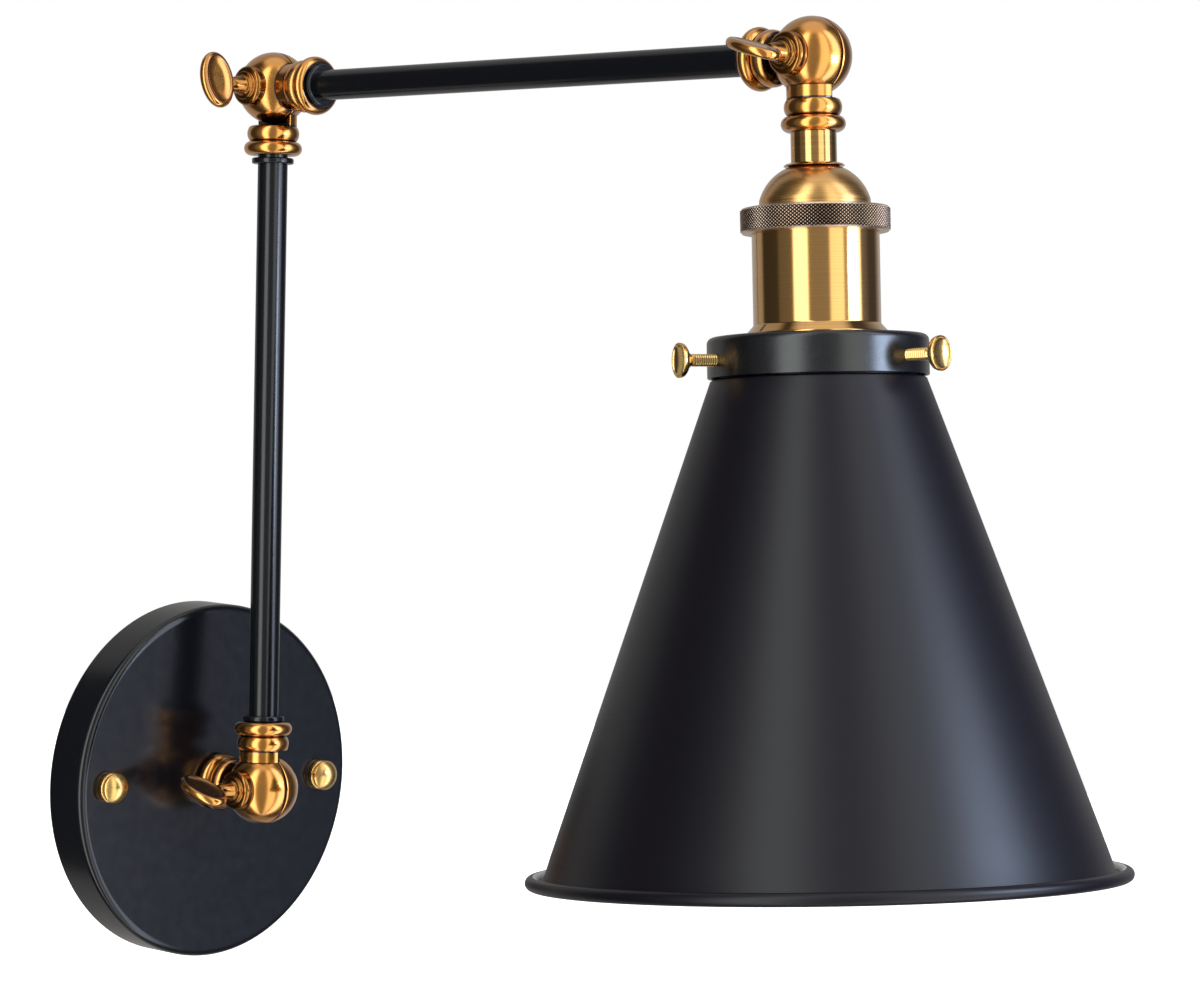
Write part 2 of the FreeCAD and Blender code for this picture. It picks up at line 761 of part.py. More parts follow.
# Lampholder liner: a porcelain tube, hung in the shell by its flange. Its threaded skirt passes the fitter.
liner_radius = shell_bore - size.loose_gap
liner_end = shell_end + size.liner_skirt
screw_shell_radius = size.lamp_thread_diameter / 2 + size.screw_shell_wall
well_radius = screw_shell_radius + size.hole_clearance
lampholder_liner = turned(
    [
        (well_radius, cap_end),
        (flange_edge, cap_end),
        (flange_edge, shell_start),
        (liner_radius, shell_start),
        (liner_radius, liner_end),
        (well_radius, liner_end),
    ]
)
finish("lampholder_liner", lampholder_liner, lamp_frame)

# Lampholder core: a porcelain plug, pressed into the top of the liner, with a pocket for the centre contact.
plug_radius = well_radius - size.thread_clearance
pocket_radius = size.contact_diameter / 2 + size.contact_gap
pocket_start = cap_end + size.core_top
contact_face = pocket_start + size.contact_thickness
contact_tip = contact_face + size.contact_dome_diameter / 2
well_start = contact_tip + size.contact_depth
core_body = turned(
    [
        (0, cap_end),
        (plug_radius, cap_end),
        (plug_radius, well_start),
        (pocket_radius, well_start),
        (pocket_radius, pocket_start),
        (0, pocket_start),
    ]
)
terminal_places = (-size.terminal_spacing / 2, size.terminal_spacing / 2)
terminal_radius = size.terminal_screw_diameter / 2
terminal_thread = terminal_radius + size.thread_clearance
terminal_depth = size.terminal_screw_length + size.seat_gap
terminal_holes = [
    move(cylinder(terminal_thread, terminal_depth, cap_end), x=place) for place in terminal_places
]
finish("lampholder_core", cut(core_body, *terminal_holes), lamp_frame)

# Screw shell and centre contact: brass. The shell lines the liner under the core and has a lip turned in.
# The contact is in the core's pocket.
thread_radius = size.lamp_thread_diameter / 2
screw_shell_end = liner_end - size.screw_shell_short
screw_shell = turned(
    [
        (thread_radius - size.screw_shell_lip, well_start),
        (screw_shell_radius, well_start),
        (screw_shell_radius, screw_shell_end),
        (thread_radius, screw_shell_end),
        (thread_radius, well_start + size.screw_shell_wall),
        (thread_radius - size.screw_shell_lip, well_start + size.screw_shell_wall),
    ]
)
finish("screw_shell", screw_shell, lamp_frame)
contact_dome = size.contact_dome_diameter / 2
centre_contact = turned(
    [
        (0, pocket_start),
        (size.contact_diameter / 2, pocket_start),
        (size.contact_diameter / 2, contact_face),
        (contact_dome, contact_face, contact_dome),
        (0, contact_tip),
    ]
)
finish("centre_contact", centre_contact, lamp_frame)

# Terminal screws: slotted, in the top of the core under the cap.
terminal_screws = []
terminal_head_start = cap_end - size.terminal_head_height
for place in terminal_places:
    terminal_screw = turned(
        [
            (0, terminal_head_start),
            (size.terminal_head_diameter / 2, terminal_head_start),
            (size.terminal_head_diameter / 2, cap_end),
            (terminal_radius, cap_end),
            (terminal_radius, cap_end + size.terminal_screw_length),
            (0, cap_end + size.terminal_screw_length),
        ]
    )
    terminal_slot = box(
        size.terminal_head_diameter,
        size.terminal_slot,
        size.terminal_slot,
        -size.terminal_head_diameter / 2,
        -size.terminal_slot / 2,
        terminal_head_start,
    )
    terminal_screws.append(move(cut(terminal_screw, terminal_slot), x=place))
finish("terminal_screws", group(*terminal_screws), lamp_frame)

# Shade fitter: a pressed cup under the lampholder's foot, with three threaded holes in its wall.
fitter_radius = size.fitter_diameter / 2
fitter_bore = fitter_radius - size.fitter_wall
fitter_end = shell_end + size.fitter_height
shoulder_start = fitter_radius - size.fitter_shoulder
shoulder_end = shell_end + size.fitter_shoulder
fitter_inside = shell_end + size.fitter_wall
fitter_hole = liner_radius + size.hole_clearance
fitter_cup = turned(
    [
        (fitter_hole, shell_end),
        (shoulder_start, shell_end, size.fitter_shoulder),
        (fitter_radius, shoulder_end),
        (fitter_radius, fitter_end),
        (fitter_bore, fitter_end),
        (fitter_bore, shoulder_end, size.fitter_wall - size.fitter_shoulder),
        (shoulder_start, fitter_inside),
        (fitter_hole, fitter_inside),
    ]
)
thumbscrew_place = shell_end + size.thumbscrew_height
thumbscrew_radius = size.thumbscrew_diameter / 2
THUMBSCREWS = {"front": 0, "left": 120, "right": 240}


def radial(piece, angle):
    """Lays a piece that is made along Z along a radius of the fitter, at the thumbscrews' height."""
    piece.Placement = Placement(Vector(), Rotation(Vector(0, 1, 0), 90))
    turned_piece = group(piece)
    turned_piece.Placement = Placement(Vector(), Rotation(Vector(0, 0, 1), angle.value))
    turned_piece.setExpression("Placement.Rotation.Angle", angle.formula)
    return move(turned_piece, z=thumbscrew_place)


fitter_holes = [
    radial(cylinder(thumbscrew_radius + size.thread_clearance, fitter_radius), size.thumbscrew_turn + step)
    for step in THUMBSCREWS.values()
]
finish("shade_fitter", cut(fitter_cup, *fitter_holes), lamp_frame)

# Shade ring: screwed up the liner's skirt against the fitter.
shade_ring_bore = 2 * (liner_radius + size.thread_clearance)
shade_ring_diameter = 2 * (liner_radius + size.shade_ring_wall)
shade_ring = pipe(shade_ring_diameter, shade_ring_bore, size.shade_ring_height, fitter_inside)
finish("shade_ring", shade_ring, lamp_frame)

# Thumbscrews: their tips bear on the shade's neck, below its lip. The head is a dished disc with a round
# edge.
lip_radius = fitter_bore - size.shade_lip_clearance
neck_radius = lip_radius - size.shade_lip_reach
head_inner_face = fitter_radius + size.thumbscrew_stand_off
head_outer_face = head_inner_face + size.thumb_head_thickness
head_radius = size.thumb_head_diameter / 2
head_edge = head_radius - size.thumb_head_round
dish_radius = (head_edge * head_edge + size.thumb_dish * size.thumb_dish) / (2 * size.thumb_dish)
for name, step in THUMBSCREWS.items():
    thumbscrew = turned(
        [
            (0, neck_radius + size.seat_gap),
            (thumbscrew_radius, neck_radius + size.seat_gap),
            (thumbscrew_radius, head_inner_face - size.thumbscrew_root),
            (size.thumbscrew_root_diameter / 2, head_inner_face),
            (head_edge, head_inner_face, size.thumb_head_round),
            (head_radius, head_inner_face + size.thumb_head_round),
            (head_radius, head_outer_face - size.thumb_head_round, size.thumb_head_round),
            (head_edge, head_outer_face, -dish_radius),
            (0, head_outer_face - size.thumb_dish),
        ]
    )
    finish(f"thumbscrew_{name}", group(radial(thumbscrew, size.thumbscrew_turn + step)), lamp_frame)

# Shade: a spun cone with a neck and lip at the top, and a rim turned out and rolled into a bead.
lip_end = thumbscrew_place - thumbscrew_radius - size.seat_gap
lip_start = lip_end - size.shade_lip
cone_start = fitter_end + size.loose_gap
rim_middle = cone_start + size.shade_height
cone_top = fitter_radius - size.shade_top_step
mouth_radius = size.shade_mouth_diameter / 2
cone_slope = (mouth_radius - cone_top) / size.shade_height
slant_wall = size.shade_wall * root(1 + cone_slope * cone_slope)
rim_round = size.rim_bead / 2
bead_middle = mouth_radius + size.rim_reach - rim_round
rim_flange_start = rim_middle - size.rim_flange / 2
rim_flange_end = rim_middle + size.rim_flange / 2
inner_cone_start = cone_start + size.shade_wall + size.shade_top_round


def cone_radius(height):
    return cone_top + cone_slope * (height - cone_start)


shade_cone = turned(
    [
        (neck_radius - size.shade_wall, lip_start),
        (lip_radius, lip_start),
        (lip_radius, lip_end),
        (neck_radius, lip_end),
        (neck_radius, cone_start),
        (cone_top - size.shade_top_round, cone_start),
        (cone_radius(cone_start + size.shade_top_round), cone_start + size.shade_top_round),
        (cone_radius(rim_flange_start), rim_flange_start),
        (bead_middle, rim_flange_start),
        (bead_middle, rim_flange_end),
        (cone_radius(rim_flange_end) - slant_wall, rim_flange_end),
        (cone_radius(inner_cone_start) - slant_wall, inner_cone_start),
        (neck_radius - size.shade_wall, cone_start + size.shade_wall),
    ]
)
finish("shade", fuse(shade_cone, torus(bead_middle, rim_round, rim_middle)), lamp_frame)

doc.recompute()
for piece in doc.Objects:
    if "Invalid" in piece.State or "Error" in piece.State:
        raise RuntimeError(f"{piece.Name} ({piece.Label}) did not build: {piece.State}")
for piece in sub_parts:
    if piece.Shape.isNull() or not piece.Shape.isValid():
        raise RuntimeError(f"{piece.Label} has no valid shape")

os.makedirs("parts", exist_ok=True)
for piece in sub_parts:
    piece.Shape.exportStep(f"parts/{piece.Label}.step")
print(len(sub_parts), "sub-parts written")
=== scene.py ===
import math

import bpy
from mathutils import Matrix, Vector


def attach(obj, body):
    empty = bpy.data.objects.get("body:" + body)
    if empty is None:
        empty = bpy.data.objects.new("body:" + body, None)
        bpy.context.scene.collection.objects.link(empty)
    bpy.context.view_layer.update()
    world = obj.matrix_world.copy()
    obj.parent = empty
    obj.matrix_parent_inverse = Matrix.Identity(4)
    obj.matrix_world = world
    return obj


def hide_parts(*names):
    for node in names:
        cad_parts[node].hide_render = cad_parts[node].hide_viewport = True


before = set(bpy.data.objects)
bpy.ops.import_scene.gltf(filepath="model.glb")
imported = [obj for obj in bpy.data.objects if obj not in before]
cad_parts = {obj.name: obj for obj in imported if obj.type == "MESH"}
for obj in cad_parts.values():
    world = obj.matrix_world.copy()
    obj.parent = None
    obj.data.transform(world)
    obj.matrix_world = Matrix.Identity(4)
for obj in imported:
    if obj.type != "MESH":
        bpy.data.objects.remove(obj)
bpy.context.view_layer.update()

# Studio: the wall lamp hangs over white paper in a dim room with a pale ceiling. Tall lit panels stand in
# front of it, one to the left of the camera and two to its right, so the brass shows upright bands. A
# small cool light close to the shade gives it a sheen that is strongest near the rim.
CAMERA_PLACE = (-0.956719, -1.071631, 0.165744)
AZIMUTH, PITCH, ROLL = (math.radians(degrees) for degrees in (-47.216, -2.544, 2.933))
FOCAL_PIXELS, PICTURE_WIDTH, SENSOR = 4195.79, 1200, 36
scene = bpy.context.scene
scene.view_settings.view_transform = "Standard"
forward = Vector((
    -math.sin(AZIMUTH) * math.cos(PITCH), math.cos(AZIMUTH) * math.cos(PITCH), math.sin(PITCH)
))
level_right = Vector((math.cos(AZIMUTH), math.sin(AZIMUTH), 0))
level_up = level_right.cross(forward)
right = level_right * math.cos(ROLL) + level_up * math.sin(ROLL)
up = level_up * math.cos(ROLL) - level_right * math.sin(ROLL)
camera = bpy.data.objects.new("camera", bpy.data.cameras.new("camera"))
camera.data.sensor_width = SENSOR
camera.data.lens = FOCAL_PIXELS / PICTURE_WIDTH * SENSOR
facing = Matrix((right, up, -forward)).transposed().to_4x4()
camera.matrix_world = Matrix.Translation(CAMERA_PLACE) @ facing
scene.collection.objects.link(camera)
scene.camera = camera


def link(tree, source, target):
    tree.links.new(source, target)


def remap(tree, source, start, end, low=0, high=1, kind="LINEAR"):
    """A value that goes from low to high while its source goes from start to end."""
    limits = tree.nodes.new("ShaderNodeMapRange")
    limits.interpolation_type = kind
    for socket, value in (("From Min", start), ("From Max", end), ("To Min", low), ("To Max", high)):
        limits.inputs[socket].default_value = value
    link(tree, source, limits.inputs["Value"])
    return limits.outputs["Result"]


def blend(tree, share, first, second):
    """Two shaders mixed by the share of the second, from 0 to 1."""
    mix = tree.nodes.new("ShaderNodeMixShader")
    link(tree, share, mix.inputs["Fac"])
    link(tree, first, mix.inputs[1])
    link(tree, second, mix.inputs[2])
    return mix.outputs["Shader"]


def new_finish(name, colour, metallic, roughness):
    """A material with its plain values set, its node tree and its shader."""
    finish = bpy.data.materials.new(name)
    finish.use_nodes = True
    shader = finish.node_tree.nodes["Principled BSDF"]
    shader.inputs["Base Color"].default_value = (*colour, 1)
    shader.inputs["Metallic"].default_value = metallic
    shader.inputs["Roughness"].default_value = roughness
    return finish, finish.node_tree, shader


# The room's tone by the angle to the right of the camera, seen from the wall lamp. The panels fade where
# they come near the top and the bottom of the room, and the ceiling begins above them.
PANELS = (
    (-180, (0.42, 0.41, 0.4)), (-120, (0.4, 0.39, 0.37)), (-112, (0.05, 0.05, 0.05)),
    (-78, (0.06, 0.06, 0.06)), (-72, (0.17, 0.17, 0.17)), (-47, (0.2, 0.2, 0.2)),
    (-42, (3, 3.15, 3.1)), (-21, (3, 3.15, 3.1)), (-16, (0.33, 0.33, 0.33)), (19, (0.35, 0.35, 0.35)),
    (24, (1.7, 1.75, 1.6)), (46, (1.8, 1.9, 1.75)), (50, (0.5, 0.5, 0.5)), (57, (0.5, 0.5, 0.5)),
    (61, (2.6, 2.75, 3.2)), (82, (2.6, 2.75, 3.2)), (87, (0.2, 0.22, 0.3)), (95, (0.17, 0.19, 0.26)),
    (108, (0.07, 0.07, 0.08)), (128, (0.07, 0.07, 0.08)), (150, (0.42, 0.42, 0.42)),
    (180, (0.42, 0.41, 0.4)),
)
BRIGHTEST = 3.2
FADE_START, FADED_SHARE = 0.8, 0.7
CEILING_TONE, CEILING_LEVEL, CEILING_START, CEILING_FULL = (1, 0.99, 0.96), 0.9, 0.86, 0.96
world = bpy.data.worlds.new("studio")
world.use_nodes = True
scene.world = world
tree = world.node_tree
tree.nodes.clear()
towards_camera = Vector((-forward.x, -forward.y, 0)).normalized()
place = tree.nodes.new("ShaderNodeTexCoord")
parts = tree.nodes.new("ShaderNodeSeparateXYZ")
link(tree, place.outputs["Generated"], parts.inputs["Vector"])
angle = tree.nodes.new("ShaderNodeMath")
angle.operation = "ARCTAN2"
for direction, socket in zip((level_right, towards_camera), angle.inputs):
    along = tree.nodes.new("ShaderNodeVectorMath")
    along.operation = "DOT_PRODUCT"
    along.inputs[1].default_value = direction
    link(tree, place.outputs["Generated"], along.inputs[0])
    link(tree, along.outputs["Value"], socket)
panels = tree.nodes.new("ShaderNodeValToRGB")
stops = panels.color_ramp.elements
while len(stops) < len(PANELS):
    stops.new(1)
for stop, (degrees, colour) in zip(stops, PANELS):
    stop.position = (degrees + 180) / 360
    stop.color = (*(level / BRIGHTEST for level in colour), 1)
link(tree, remap(tree, angle.outputs["Value"], -math.pi, math.pi), panels.inputs["Fac"])
steepness = tree.nodes.new("ShaderNodeMath")
steepness.operation = "ABSOLUTE"
link(tree, parts.outputs["Z"], steepness.inputs[0])
panel_level = remap(
    tree, steepness.outputs["Value"], FADE_START, 1, BRIGHTEST, FADED_SHARE * BRIGHTEST, "SMOOTHSTEP"
)
room = tree.nodes.new("ShaderNodeBackground")
link(tree, panels.outputs["Color"], room.inputs["Color"])
link(tree, panel_level, room.inputs["Strength"])
ceiling = tree.nodes.new("ShaderNodeBackground")
ceiling.inputs["Color"].default_value = (*CEILING_TONE, 1)
ceiling.inputs["Strength"].default_value = CEILING_LEVEL
overhead = remap(tree, parts.outputs["Z"], CEILING_START, CEILING_FULL, kind="SMOOTHSTEP")
lit_room = blend(tree, overhead, room.outputs["Background"], ceiling.outputs["Background"])
white = tree.nodes.new("ShaderNodeBackground")
white.inputs["Color"].default_value = (1, 1, 1, 1)
path = tree.nodes.new("ShaderNodeLightPath")
seen = blend(tree, path.outputs["Is Camera Ray"], lit_room, white.outputs["Background"])
link(tree, seen, tree.nodes.new("ShaderNodeOutputWorld").inputs["Surface"])

LIGHT_PLACE, LIGHT_TARGET = Vector((0.16, -0.73, 0.19)), Vector((-0.02, -0.355, 0.01))
LIGHT_POWER, LIGHT_TINT, LIGHT_WIDTH = 1.2, (0.55, 0.72, 1), 0.18
cool_lamp = bpy.data.objects.new("cool_lamp", bpy.data.lights.new("cool_lamp", "AREA"))
cool_lamp.data.energy = LIGHT_POWER
cool_lamp.data.color = LIGHT_TINT
cool_lamp.data.size = LIGHT_WIDTH
cool_lamp.location = LIGHT_PLACE
cool_lamp.rotation_euler = (LIGHT_TARGET - LIGHT_PLACE).to_track_quat("-Z", "Y").to_euler()
cool_lamp.visible_camera = False
scene.collection.objects.link(cool_lamp)

# The paper is clear from below. Its glow is seen by the camera alone, so that it shows pure white.
FLOOR_WIDTH, FLOOR_CELLS, FLOOR_LEVEL = 14, 4, -0.9
PAPER_TONE, PAPER_GLOW = 0.86, 0.9
bpy.ops.object.select_all(action="DESELECT")
bpy.ops.mesh.primitive_grid_add(
    x_subdivisions=FLOOR_CELLS, y_subdivisions=FLOOR_CELLS, size=FLOOR_WIDTH, location=(0, 0, FLOOR_LEVEL)
)
floor = bpy.context.object
floor.name = "floor"
paper, tree, shader = new_finish("white_paper", colour=(PAPER_TONE,) * 3, metallic=0, roughness=0.9)
paper_path = tree.nodes.new("ShaderNodeLightPath")
paper_side = tree.nodes.new("ShaderNodeNewGeometry")
glow = tree.nodes.new("ShaderNodeEmission")
clear = tree.nodes.new("ShaderNodeBsdfTransparent")
lit_paper = tree.nodes.new("ShaderNodeAddShader")
glow_level = remap(tree, paper_path.outputs["Is Camera Ray"], 0, 1, high=PAPER_GLOW)
link(tree, glow_level, glow.inputs["Strength"])
link(tree, shader.outputs["BSDF"], lit_paper.inputs[0])
link(tree, glow.outputs["Emission"], lit_paper.inputs[1])
one_sided = blend(
    tree, paper_side.outputs["Backfacing"], lit_paper.outputs["Shader"], clear.outputs["BSDF"]
)
link(tree, one_sided, tree.nodes["Material Output"].inputs["Surface"])
floor.data.materials.append(paper)
floor.visible_glossy = False

# Bracket and its fasteners: a zinc-plated steel bar on the wall, with two studs, their nuts, an earth
# screw, and the nut and washer of the lower knuckle's nipple. They are hidden, so the solids of the frame
# are shown, as they are for the lamp's nipple, nut and terminal screws and the knuckles' nylon washers.
GRAIN_LOW, GRAIN_HIGH = 0.3, 0.7


def grain(tree, cells, detail=3):
    """Cloudy grain in the piece's own coordinates, so many cells to the metre."""
    coordinates = tree.nodes.new("ShaderNodeTexCoord")
    noise = tree.nodes.new("ShaderNodeTexNoise")
    noise.inputs["Scale"].default_value = cells
    noise.inputs["Detail"].default_value = detail
    link(tree, coordinates.outputs["Object"], noise.inputs["Vector"])
    return noise.outputs["Fac"]


def roughen(tree, shader, source, low, high):
    """Spreads the roughness between two limits by the grain."""
    link(tree, remap(tree, source, GRAIN_LOW, GRAIN_HIGH, low, high), shader.inputs["Roughness"])


def tint(tree, shader, source, dark, pale):
    """Spreads the colour between two tones by the grain."""
    tones = tree.nodes.new("ShaderNodeValToRGB")
    for stop, position, tone in zip(tones.color_ramp.elements, (GRAIN_LOW, GRAIN_HIGH), (dark, pale)):
        stop.position = position
        stop.color = (*tone, 1)
    link(tree, source, tones.inputs["Fac"])
    link(tree, tones.outputs["Color"], shader.inputs["Base Color"])


def relief(tree, shader, source, depth):
    """Raises the surface by the grain, to a depth in metres."""
    bump = tree.nodes.new("ShaderNodeBump")
    bump.inputs["Distance"].default_value = depth
    link(tree, source, bump.inputs["Height"])
    link(tree, bump.outputs["Normal"], shader.inputs["Normal"])


def coat_solid(finish, *names):
    """Gives a finish to solids of the frame that are shown as they are."""
    for name in names:
        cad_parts[name].material_slots[0].material = finish


zinc, tree, shader = new_finish("zinc_plate", colour=(0.6, 0.6, 0.57), metallic=1, roughness=0.35)
tint(tree, shader, grain(tree, cells=500), dark=(0.5, 0.5, 0.46), pale=(0.68, 0.68, 0.66))
roughen(tree, shader, grain(tree, cells=1500), low=0.28, high=0.45)
washer_plastic, tree, shader = new_finish("nylon", colour=(0.05, 0.045, 0.04), metallic=0, roughness=0.55)
relief(tree, shader, grain(tree, cells=4000), depth=0.00003)
plain_brass, tree, shader = new_finish("screw_brass", colour=(0.72, 0.5, 0.2), metallic=1, roughness=0.25)
tint(tree, shader, grain(tree, cells=600), dark=(0.62, 0.42, 0.16), pale=(0.8, 0.57, 0.24))
roughen(tree, shader, grain(tree, cells=2000), low=0.2, high=0.35)

coat_solid(zinc, "mounting_bracket", "bracket_studs", "stud_nuts")
coat_solid(zinc, "stem_nipple", "stem_tooth_washer", "stem_nut", "lamp_nipple", "lamp_nut")
coat_solid(plain_brass, "earth_screw", "terminal_screws")
coat_solid(washer_plastic, "lower_friction_washer", "elbow_friction_washer", "head_friction_washer")

# Wall plate: a cup pressed from steel sheet, with a soft front edge and an open back that stands on the
# wall. Its satin black coat is sprayed and baked, with a fine even grain.
MM = 0.001
SHARP_ANGLE, SMOOTH_ANGLE = math.radians(30), math.radians(35)


def arc(middle_radius, middle_height, radius, start, end, count):
    """Corners along an arc of an outline, from one angle to another in degrees."""
    angles = [math.radians(start + (end - start) * i / count) for i in range(count + 1)]
    return [(middle_radius + radius * math.cos(a), middle_height + radius * math.sin(a)) for a in angles]


def lathe(name, outline, steps):
    """Turns an outline of (radius, distance along Z) corners, in millimetres, once round Z."""
    bpy.ops.object.select_all(action="DESELECT")
    bpy.ops.mesh.primitive_plane_add(size=MM)
    piece = bpy.context.object
    piece.name = piece.data.name = name
    bpy.ops.object.mode_set(mode="EDIT")
    bpy.ops.mesh.select_mode(type="VERT")
    bpy.ops.mesh.select_all(action="SELECT")
    bpy.ops.mesh.merge(type="CENTER")
    radius, height = outline[0]
    bpy.ops.transform.translate(value=(radius * MM, 0, height * MM))
    for next_radius, next_height in outline[1:]:
        step = ((next_radius - radius) * MM, 0, (next_height - height) * MM)
        bpy.ops.mesh.extrude_vertices_move(TRANSFORM_OT_translate={"value": step})
        radius, height = next_radius, next_height
    bpy.ops.mesh.select_all(action="SELECT")
    bpy.ops.mesh.spin(steps=steps, angle=2 * math.pi, center=(0, 0, 0), axis=(0, 0, 1))
    bpy.ops.mesh.select_all(action="SELECT")
    bpy.ops.mesh.remove_doubles(threshold=MM / 1000)
    bpy.ops.mesh.normals_make_consistent(inside=False)
    bpy.ops.object.mode_set(mode="OBJECT")
    return piece


def select_only(piece):
    bpy.ops.object.select_all(action="DESELECT")
    piece.select_set(True)
    bpy.context.view_layer.objects.active = piece


def apply_modifier(piece, kind, **values):
    select_only(piece)
    modifier = piece.modifiers.new(kind.lower(), kind)
    for name, value in values.items():
        setattr(modifier, name, value)
    bpy.ops.object.modifier_apply(modifier=modifier.name)


def soften(piece, edge):
    """Breaks a piece's sharp edges, to a width in millimetres, and shades it smooth."""
    if edge:
        apply_modifier(
            piece, "BEVEL", width=edge * MM, segments=2, limit_method="ANGLE", angle_limit=SHARP_ANGLE
        )
    select_only(piece)
    bpy.ops.object.shade_smooth_by_angle(angle=SMOOTH_ANGLE)
    apply_modifier(piece, "WEIGHTED_NORMAL", keep_sharp=True)


def turned(name, outline, steps, edge=0):
    """A piece turned from an outline, with softened edges."""
    piece = lathe(name, outline, steps)
    soften(piece, edge)
    return piece


def settle(piece):
    """Puts a piece's place and turn into its mesh."""
    select_only(piece)
    bpy.ops.object.transform_apply(location=True, rotation=True, scale=True)


def stand(piece, place, turn):
    """Puts a piece that is made along Z at a (y, z) place in millimetres, turned about X."""
    y, z = place
    piece.location = (0, y * MM, z * MM)
    piece.rotation_euler = (math.radians(turn), 0, 0)
    settle(piece)


def fit(piece, finish, body, solid):
    """Gives a piece its finish and fits it to a body of the frame, for the solid that it stands for."""
    piece.data.materials.clear()
    piece.data.materials.append(finish)
    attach(piece, body)
    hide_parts(solid)


black_coat, tree, shader = new_finish(
    "baked_black", colour=(0.005, 0.0055, 0.008), metallic=0, roughness=0.18
)
roughen(tree, shader, grain(tree, cells=260), low=0.16, high=0.2)
relief(tree, shader, grain(tree, cells=900, detail=2), depth=0.000006)

# The distances in this outline and the nuts' are from the wall. Later ones are from the middle of a ball,
# and those of the thumbscrews are from the lamp's axis.
WALL, OUT_FROM_WALL = (0, 0), 90
PLATE, PLATE_DEPTH, PLATE_SHEET, PLATE_ROUND, NIPPLE_HOLE = 60, 16, 1.2, 2.5, 5.15
round_middle = (PLATE - PLATE_ROUND, PLATE_DEPTH - PLATE_ROUND)
plate_outline = [
    (PLATE, 0), *arc(*round_middle, PLATE_ROUND, 0, 90, 8),
    (NIPPLE_HOLE, PLATE_DEPTH), (NIPPLE_HOLE, PLATE_DEPTH - PLATE_SHEET),
    *arc(*round_middle, PLATE_ROUND - PLATE_SHEET, 90, 0, 6), (PLATE - PLATE_SHEET, 0), (PLATE, 0),
]
plate = turned("wall_plate_cup", plate_outline, steps=160, edge=0.15)
stand(plate, WALL, OUT_FROM_WALL)
fit(plate, black_coat, "base", "wall_plate")

# Cap nuts: turned from brass bar and polished. Each has a base ring, a groove and a domed head, and is
# screwed on a stud that comes out through the plate.
nut_brass, tree, shader = new_finish("bright_brass", colour=(0.86, 0.6, 0.22), metallic=1, roughness=0.3)
tint(tree, shader, grain(tree, cells=900), dark=(0.8, 0.47, 0.13), pale=(0.9, 0.58, 0.21))
roughen(tree, shader, grain(tree, cells=3000), low=0.25, high=0.32)
shader.inputs["Coat Weight"].default_value = 0.5
shader.inputs["Coat Roughness"].default_value = 0.12

STUD_PLACE = 47.5
NUT, NUT_EDGE, NUT_FOOT_EDGE, NUT_BASE_ROUND = 5.2, 0.3, 0.25, 0.4
GROOVE, GROOVE_START, GROOVE_END = 4.3, 17.9, 18.7
NUT_DOME, NUT_DOME_MIDDLE, NUT_DOME_ANGLE = 6.23, 15.87, 33.4
nut_outline = [
    (0, PLATE_DEPTH), (NUT - NUT_FOOT_EDGE, PLATE_DEPTH), (NUT, PLATE_DEPTH + NUT_EDGE),
    (NUT, GROOVE_START - NUT_BASE_ROUND), (NUT - NUT_EDGE, GROOVE_START), (GROOVE, GROOVE_START),
    (GROOVE, GROOVE_END), (NUT - NUT_EDGE, GROOVE_END), (NUT, GROOVE_END + NUT_EDGE),
    *arc(0, NUT_DOME_MIDDLE, NUT_DOME, NUT_DOME_ANGLE, 90, 12),
]
for side, x in (("left", -STUD_PLACE), ("right", STUD_PLACE)):
    nut = turned(f"cap_nut_{side}", nut_outline, steps=64, edge=0.12)
    nut.location.x = x * MM
    settle(nut)
    stand(nut, WALL, OUT_FROM_WALL)
    fit(nut, nut_brass, "base", "cap_nuts")

# Ball knuckles: cast in brass in two halves that meet on the pivot's plane, turned, and stained golden
# brown. Grooves and creases are coloured darker, partly patina and partly painted shade. Each half has a
# half-round neck and a collar with two beads for a tube.


def record_stain_and_shade(piece, cleanness_and_light):
    """Keeps at each corner how free of stain and painted shade the brass is, from 0 in a groove to 1 on
    the high places.
    """
    values = piece.data.attributes.new("clean_and_lit", "FLOAT", "POINT").data
    for corner, value in zip(piece.data.vertices, values):
        value.value = min(max(cleanness_and_light(*(corner.co / MM)), 0), 1)


def stained_and_shaded(tree, shader, dark, pale):
    """Colours brass by the stain and the painted shade kept at its corners."""
    clean_and_lit = tree.nodes.new("ShaderNodeAttribute")
    clean_and_lit.attribute_name = "clean_and_lit"
    tint(tree, shader, clean_and_lit.outputs["Fac"], dark, pale)


def join(piece, *others):
    """Makes other pieces part of a piece."""
    select_only(piece)
    for other in others:
        other.select_set(True)
    bpy.ops.object.join()


antique_brass, tree, shader = new_finish(
    "aged_brass", colour=(0.72, 0.3, 0.038), metallic=1, roughness=0.21
)
# Dark in grooves and creases: partly patina, partly painted shade.
stained_and_shaded(tree, shader, dark=(0.03, 0.014, 0.006), pale=(0.72, 0.3, 0.038))
shader.inputs["Coat Weight"].default_value = 1
shader.inputs["Coat IOR"].default_value = 1.6
shader.inputs["Coat Roughness"].default_value = 0.12
roughen(tree, shader, grain(tree, cells=500), low=0.18, high=0.24)
relief(tree, shader, grain(tree, cells=220, detail=1), depth=0.00001)

BALL, SEAT, SEAM, SEAM_ANGLE, SEAM_EDGE = 12, 9.888, 0.21, 3.3, ((0.5, 0), (0.18, 0.12))
NECK, NECK_ROWS = 7.85, (8, 9.1, 9.6, 12.2, 12.6, 13.2)
COLLAR, COLLAR_START, COLLAR_END, COLLAR_EDGE = 7.7, 12.7, 22.6, (0.5, 0.25)
COLLAR_BORE, TUBE_STOP = 5.05, 14.6
SMALL_BEAD, LARGE_BEAD = (4.82, 15.3, 3.88, -36, 36, 10), (7.32, 20.25, 2.38, -76, 76, 14)
BEAD_GROOVE = (7.62, 17.9)
NEAR, FAR = -1, 1
STEPS = 96
